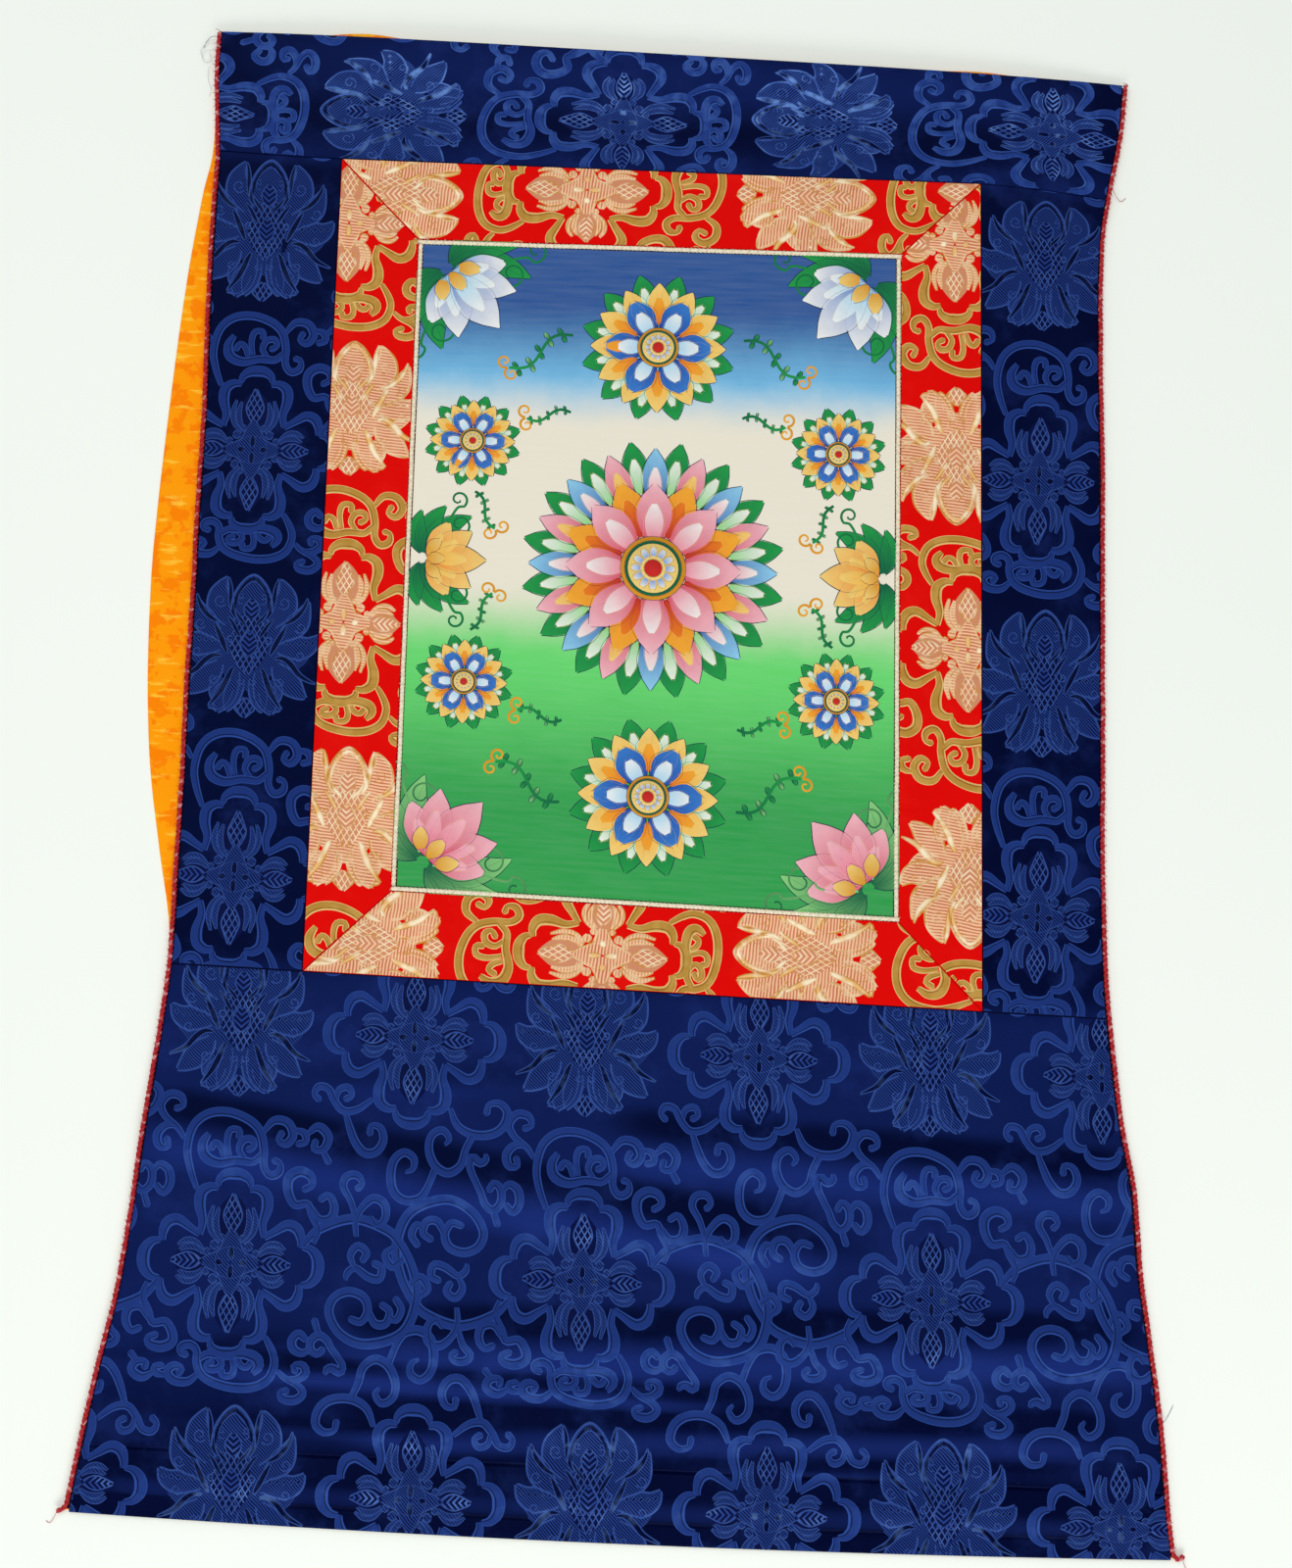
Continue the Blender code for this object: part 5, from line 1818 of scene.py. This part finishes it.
def makeCanvasLook():
    look, tree, shader = newLook("paintedGround", 0.78, 0.12)
    cloth = clothPlace(tree)
    split = addNode(tree, "ShaderNodeSeparateXYZ", Vector=cloth)
    brush = noise(tree, cloth, 26.0, 5.0, 0.6)
    streaks = addNode(tree, "ShaderNodeMapping", Vector=cloth, Scale=(30.0, 420.0, 1.0))
    fine = noise(tree, streaks.outputs[0], 1.0, 3.0)
    height = plus(tree, split.outputs["Y"], scaled(tree, brush, 0.018, -0.009))
    colour = layered(
        tree, srgb(232, 224, 204), (ramp(tree, height, 0.085, 0.125), srgb(110, 186, 226)),
        (ramp(tree, height, 0.105, 0.17), srgb(6, 72, 142)),
        (ramp(tree, height, -0.01, -0.06), srgb(92, 210, 100)),
        (ramp(tree, height, -0.05, -0.16), srgb(2, 150, 60)),
        (times(tree, fine, 0.08), srgb(250, 250, 245)),
    )
    weave = useGroup(tree, twill, Vector=cloth, Pitch=0.0008, Lean_x=1.0, Lean_y=0.0)
    return finishLook(look, tree, shader, colour, weave["Height"], 0.15, 0.00008)


def makePaintLook():
    look, tree, shader = newLook("mineralPaint", 0.72, 0.14)
    cloth = clothPlace(tree)
    shade = mixColour(tree, noise(tree, cloth, 120.0, 4.0, 0.6), srgb(226, 226, 230), white)
    colour = mixColour(tree, 1.0, stored(tree, "paint", "Color"), shade, "MULTIPLY")
    weave = useGroup(tree, twill, Vector=cloth, Pitch=0.0008, Lean_x=1.0, Lean_y=0.0)
    return finishLook(look, tree, shader, colour, weave["Height"], 0.12, 0.00008)


canvasReach = (halfPaintingWidth - cordDiameter - gap, halfPaintingHeight - cordDiameter - gap)


def canvasPlace(share, fall):
    return mix(-canvasReach[0], canvasReach[0], share), mix(canvasReach[1], -canvasReach[1], fall)


canvas = addSheet(
    "painting_canvas", canvasPlace, *(steps(2 * reach, 6.0) for reach in canvasReach), frontBase,
    canvasThick, [makeCanvasLook()], foldRadius=0.3,
)
finishNode(canvas, "painting_canvas")

artwork = newDrawing()
for (startU, startV), (endU, endV), swing in tendrils:
    for signU, signV in quarters:
        ends = (signU * startU, signV * startV), (signU * endU, signV * endV)
        paintTendril(artwork, *ends, swing * signU * signV)
for spray in sprays:
    paintSpray(artwork, *spray)
for rosette in rosettes:
    paintRosette(artwork, *rosette)
flat = np.vstack(artwork["points"])
heights = np.concatenate(artwork["height"])
laid = lay(flat[:, 0], flat[:, 1], frontTop + heights)
painted = newPiece("painted_design", laid, artwork["faces"], [makePaintLook()])
colour = np.vstack(artwork["colour"])
storePoints(painted, "paint", "FLOAT_COLOR", np.column_stack([colour, np.ones(len(colour))]))
storeCloth(painted, flat * mm)
finishPiece(painted)
print("painting ready")

# A yarn has plies laid round its middle line, and wavers a little aside.
yarns = {
    "cord": {"tree": threePlyTree, "look": cordLook, "slot": "cream_cord", "waver": 0.12,
             "sizes": {"Step": 0.9, "Ply radius": 0.78, "Lay radius": 0.62, "Turn length": 7.5}},
    "piping": {"tree": twoPlyTree, "look": pipingLook, "slot": "red_piping", "waver": 0.25,
               "sizes": {"Step": 0.8, "Ply radius": 0.86, "Lay radius": 0.64, "Turn length": 6.4}},
}
seeds = {"cord": 30, "piping": 50, "pipingStitches": 11}
waverReach = 10  # how many points to each side a yarn's waver is evened over

# The stitches over a yarn, lifted over its middle line.
stitchSets = {
    "cord": {"look": creamThread, "slot": "cream_cord", "lift": 0.35,
             "sizes": {"Pitch": 5.2, "Reach": 3.0, "Rise": 1.5, "Slant": 1.6, "Thread radius": 0.16}},
    "piping": {"look": redThread, "slot": "red_piping", "lift": 0.3,
               "sizes": {"Pitch": 4.6, "Reach": 3.4, "Rise": 1.5, "Slant": 1.8, "Thread radius": 0.16}},
}


def inMetres(sizes):
    return {name: size * mm for name, size in sizes.items()}


def waver(count, amount, seed):
    window = 2 * waverReach + 1
    raw = np.random.default_rng(seed).normal(size=count + 4 * waverReach)
    soft = np.convolve(raw, np.ones(window) / window * math.sqrt(window), mode="same")
    return soft[2 * waverReach:-2 * waverReach] * amount


def twistAlong(name, u, v, height, yarn, seed):
    u = u + waver(len(u), yarn["waver"], seed)
    v = v + waver(len(v), yarn["waver"], seed + 1)
    line = polyline(name, lay(u, v, height))
    piece = growMesh(line, yarn["tree"], {**inMetres(yarn["sizes"]), "Look": yarn["look"]})
    shadeSmooth(piece)
    finishNode(piece, name)


def stitchAlong(name, u, v, height, kind, seed):
    line = polyline(name + "_stitches", lay(u, v, height + kind["lift"]))
    piece = growMesh(line, stitchTree, {**inMetres(kind["sizes"]), "Seed": seed, "Look": kind["look"]})
    finishPiece(piece)


cordHeight = frontBase + cordDiameter / 2
uLine, vLine = halfPaintingWidth - cordDiameter / 2, halfPaintingHeight - cordDiameter / 2
uprightEnd = vLine - cordDiameter / 2 - gap
uLong = np.linspace(-halfPaintingWidth, halfPaintingWidth, 120)
vLong = np.linspace(uprightEnd, -uprightEnd, 160)
cordRuns = {
    "cord_top": np.broadcast_arrays(uLong, vLine), "cord_bottom": np.broadcast_arrays(uLong, -vLine),
    "cord_left": np.broadcast_arrays(-uLine, vLong), "cord_right": np.broadcast_arrays(uLine, vLong),
}
for seed, (name, (u, v)) in enumerate(cordRuns.items()):
    twistAlong(name, u, v, cordHeight, yarns["cord"], seeds["cord"] + 2 * seed)

pipingHeight = frontBase + pipingDiameter / 2
clear = pipingDiameter / 2 + gap
pipingStep = 3.0
pipingRows = np.arange(headEdge, footEdge + tailStart - 0.01, -pipingStep)
pipingRuns = {}
for name, edge, outward, tail in (
    ("piping_left", leftEdge, -1, tailLeft), ("piping_right", rightEdge, 1, tailRight),
):
    u, v = edge(pipingRows) + outward * clear, pipingRows
    endU, endV = u[-1], v[-1]
    u = np.concatenate([u, [endU + outward * t.out for t in tail]])
    v = np.concatenate([v, [endV - t.down for t in tail]])
    height = np.concatenate([np.full(len(pipingRows), pipingHeight), [pipingHeight + t.up for t in tail]])
    pipingRuns[name] = (u, v)
    twistAlong(name, u, v, height, yarns["piping"], seeds["piping"] + outward)
print("cords and pipings ready")

for seed, (name, (u, v)) in enumerate(cordRuns.items()):
    stitchAlong(name, u, v, cordHeight, stitchSets["cord"], seed)
for name, (u, v) in pipingRuns.items():
    sewn = slice(-3)  # the last three points are of the free tail
    stitchAlong(name, u[sewn], v[sewn], pipingHeight, stitchSets["piping"], seeds["pipingStitches"])

# Loose thread ends: their look, radius, and u, v and height along them.
Thread = namedtuple("Thread", "look radius points")
threads = [
    Thread("pale", 0.16, [(-280, 321, 4), (-284, 318, 3.4), (-288, 319, 1.4), (-291, 316, 0.4),
                          (-289, 312, 0.3), (-285, 313, 0.4), (-286, 317, 0.9)]),
    Thread("pale", 0.13, [(-281, 324, 4), (-286, 325, 2.0), (-290, 322, 0.6), (-292, 318, 0.3),
                          (-290, 315, 0.3)]),
    Thread("navy", 0.16, [(-279, 326, 4), (-284, 327, 3.0), (-288, 325, 1.0), (-290, 321, 0.4)]),
    Thread("pale", 0.12, [(-282, 311, 4), (-286, 307, 1.6), (-286, 300, 0.4), (-284, 295, 0.3),
                          (-285, 290, 0.3)]),
    Thread("red", 0.15, [(283, 262, 4), (286, 258, 2.2), (289, 257, 0.6), (292, 260, 0.3)]),
    Thread("navy", 0.11, [(302.6, -486, 3.0), (305.4, -484, 0.8), (307.6, -480.5, 0.3),
                          (309.8, -476, 0.3)]),
    Thread("red", 0.15, [(-322.5, -566, 3.4), (-325, -571, 1.0), (-327, -573, 0.4), (-329, -572, 0.3)]),
    Thread("red", 0.15, [(313, -566, 3.4), (315.5, -571, 1.0), (318, -573, 0.4), (321, -572, 0.3)]),
]
threadLooks = {"pale": paleThread, "navy": navyThread, "red": redThread}
threadTree = makeTwistTree(1, 5)
for k, thread in enumerate(threads):
    path = smoothPath(thread.points, 0.8)
    line = polyline(f"thread_end_{k + 1}", lay(path[:, 0], path[:, 1], path[:, 2]))
    sizes = {"Step": 0.8, "Ply radius": thread.radius, "Lay radius": 0.0, "Turn length": 5}
    piece = growMesh(line, threadTree, {**inMetres(sizes), "Look": threadLooks[thread.look]})
    finishPiece(piece)
print("stitches and threads ready")

floorSet = {"halfSize": 6.0, "tones": (srgb(241, 246, 236), srgb(247, 250, 241))}


def makeFloor():
    half = floorSet["halfSize"]
    points = [(-half, -half, 0), (half, -half, 0), (half, half, 0), (-half, half, 0)]
    look, tree, shader = newLook("paleTable", 0.75, 0.2)
    place = objectPlace(tree)
    tone = noise(tree, place, 1.6, 3.0)
    plug(tree, shader["Base Color"], mixColour(tree, tone, *floorSet["tones"]))
    newPiece("floor", points, [(0, 1, 2, 3)], [look])


makeFloor()

camera = {
    "place": (-0.02186, -0.18769, 1.15876), "view": (0.01794, 0.14702, -0.98897),
    "up": (-0.03439, 0.98863, 0.14635), "lens": 45.0, "sensor": 36.0, "clip": (0.01, 50.0),
}


def makeCamera():
    data = bpy.data.cameras.new("camera")
    data.sensor_fit = "AUTO"
    data.sensor_width = camera["sensor"]
    data.lens = camera["lens"]
    data.clip_start, data.clip_end = camera["clip"]
    eye = bpy.data.objects.new("camera", data)
    back = -Vector(camera["view"]).normalized()
    right = Vector(camera["up"]).cross(back).normalized()
    up = back.cross(right)
    eye.matrix_world = Matrix.Translation(camera["place"]) @ Matrix((right, up, back)).transposed().to_4x4()
    bpy.context.scene.collection.objects.link(eye)
    bpy.context.scene.camera = eye


makeCamera()

lights = {
    "key": {"place": (0.25, -2.1, 1.25), "aim": (0.0, 0.0, 0.0), "size": (1.3, 0.7), "power": 21.0},
    "top": {"place": (-0.5, 0.5, 2.4), "aim": (0.0, 0.0, 0.0), "size": (2.4, 2.4), "power": 24.0},
}
surround = {"colour": (0.93, 0.97, 1.0, 1.0), "strength": 0.58}


def makeLight(name, light):
    data = bpy.data.lights.new(name, "AREA")
    data.shape = "RECTANGLE"
    data.size, data.size_y = light["size"]
    data.energy = light["power"]
    lamp = bpy.data.objects.new(name, data)
    lamp.location = light["place"]
    aim = Vector(light["aim"]) - Vector(light["place"])
    lamp.rotation_euler = aim.to_track_quat("-Z", "Y").to_euler()
    bpy.context.scene.collection.objects.link(lamp)


for name, light in lights.items():
    makeLight(name, light)
world = bpy.data.worlds.new("studio")
world.use_nodes = True
background = world.node_tree.nodes["Background"]
background.inputs["Color"].default_value = surround["colour"]
background.inputs["Strength"].default_value = surround["strength"]
bpy.context.scene.world = world
bpy.context.scene.view_settings.view_transform = "Standard"

print("scene ready")
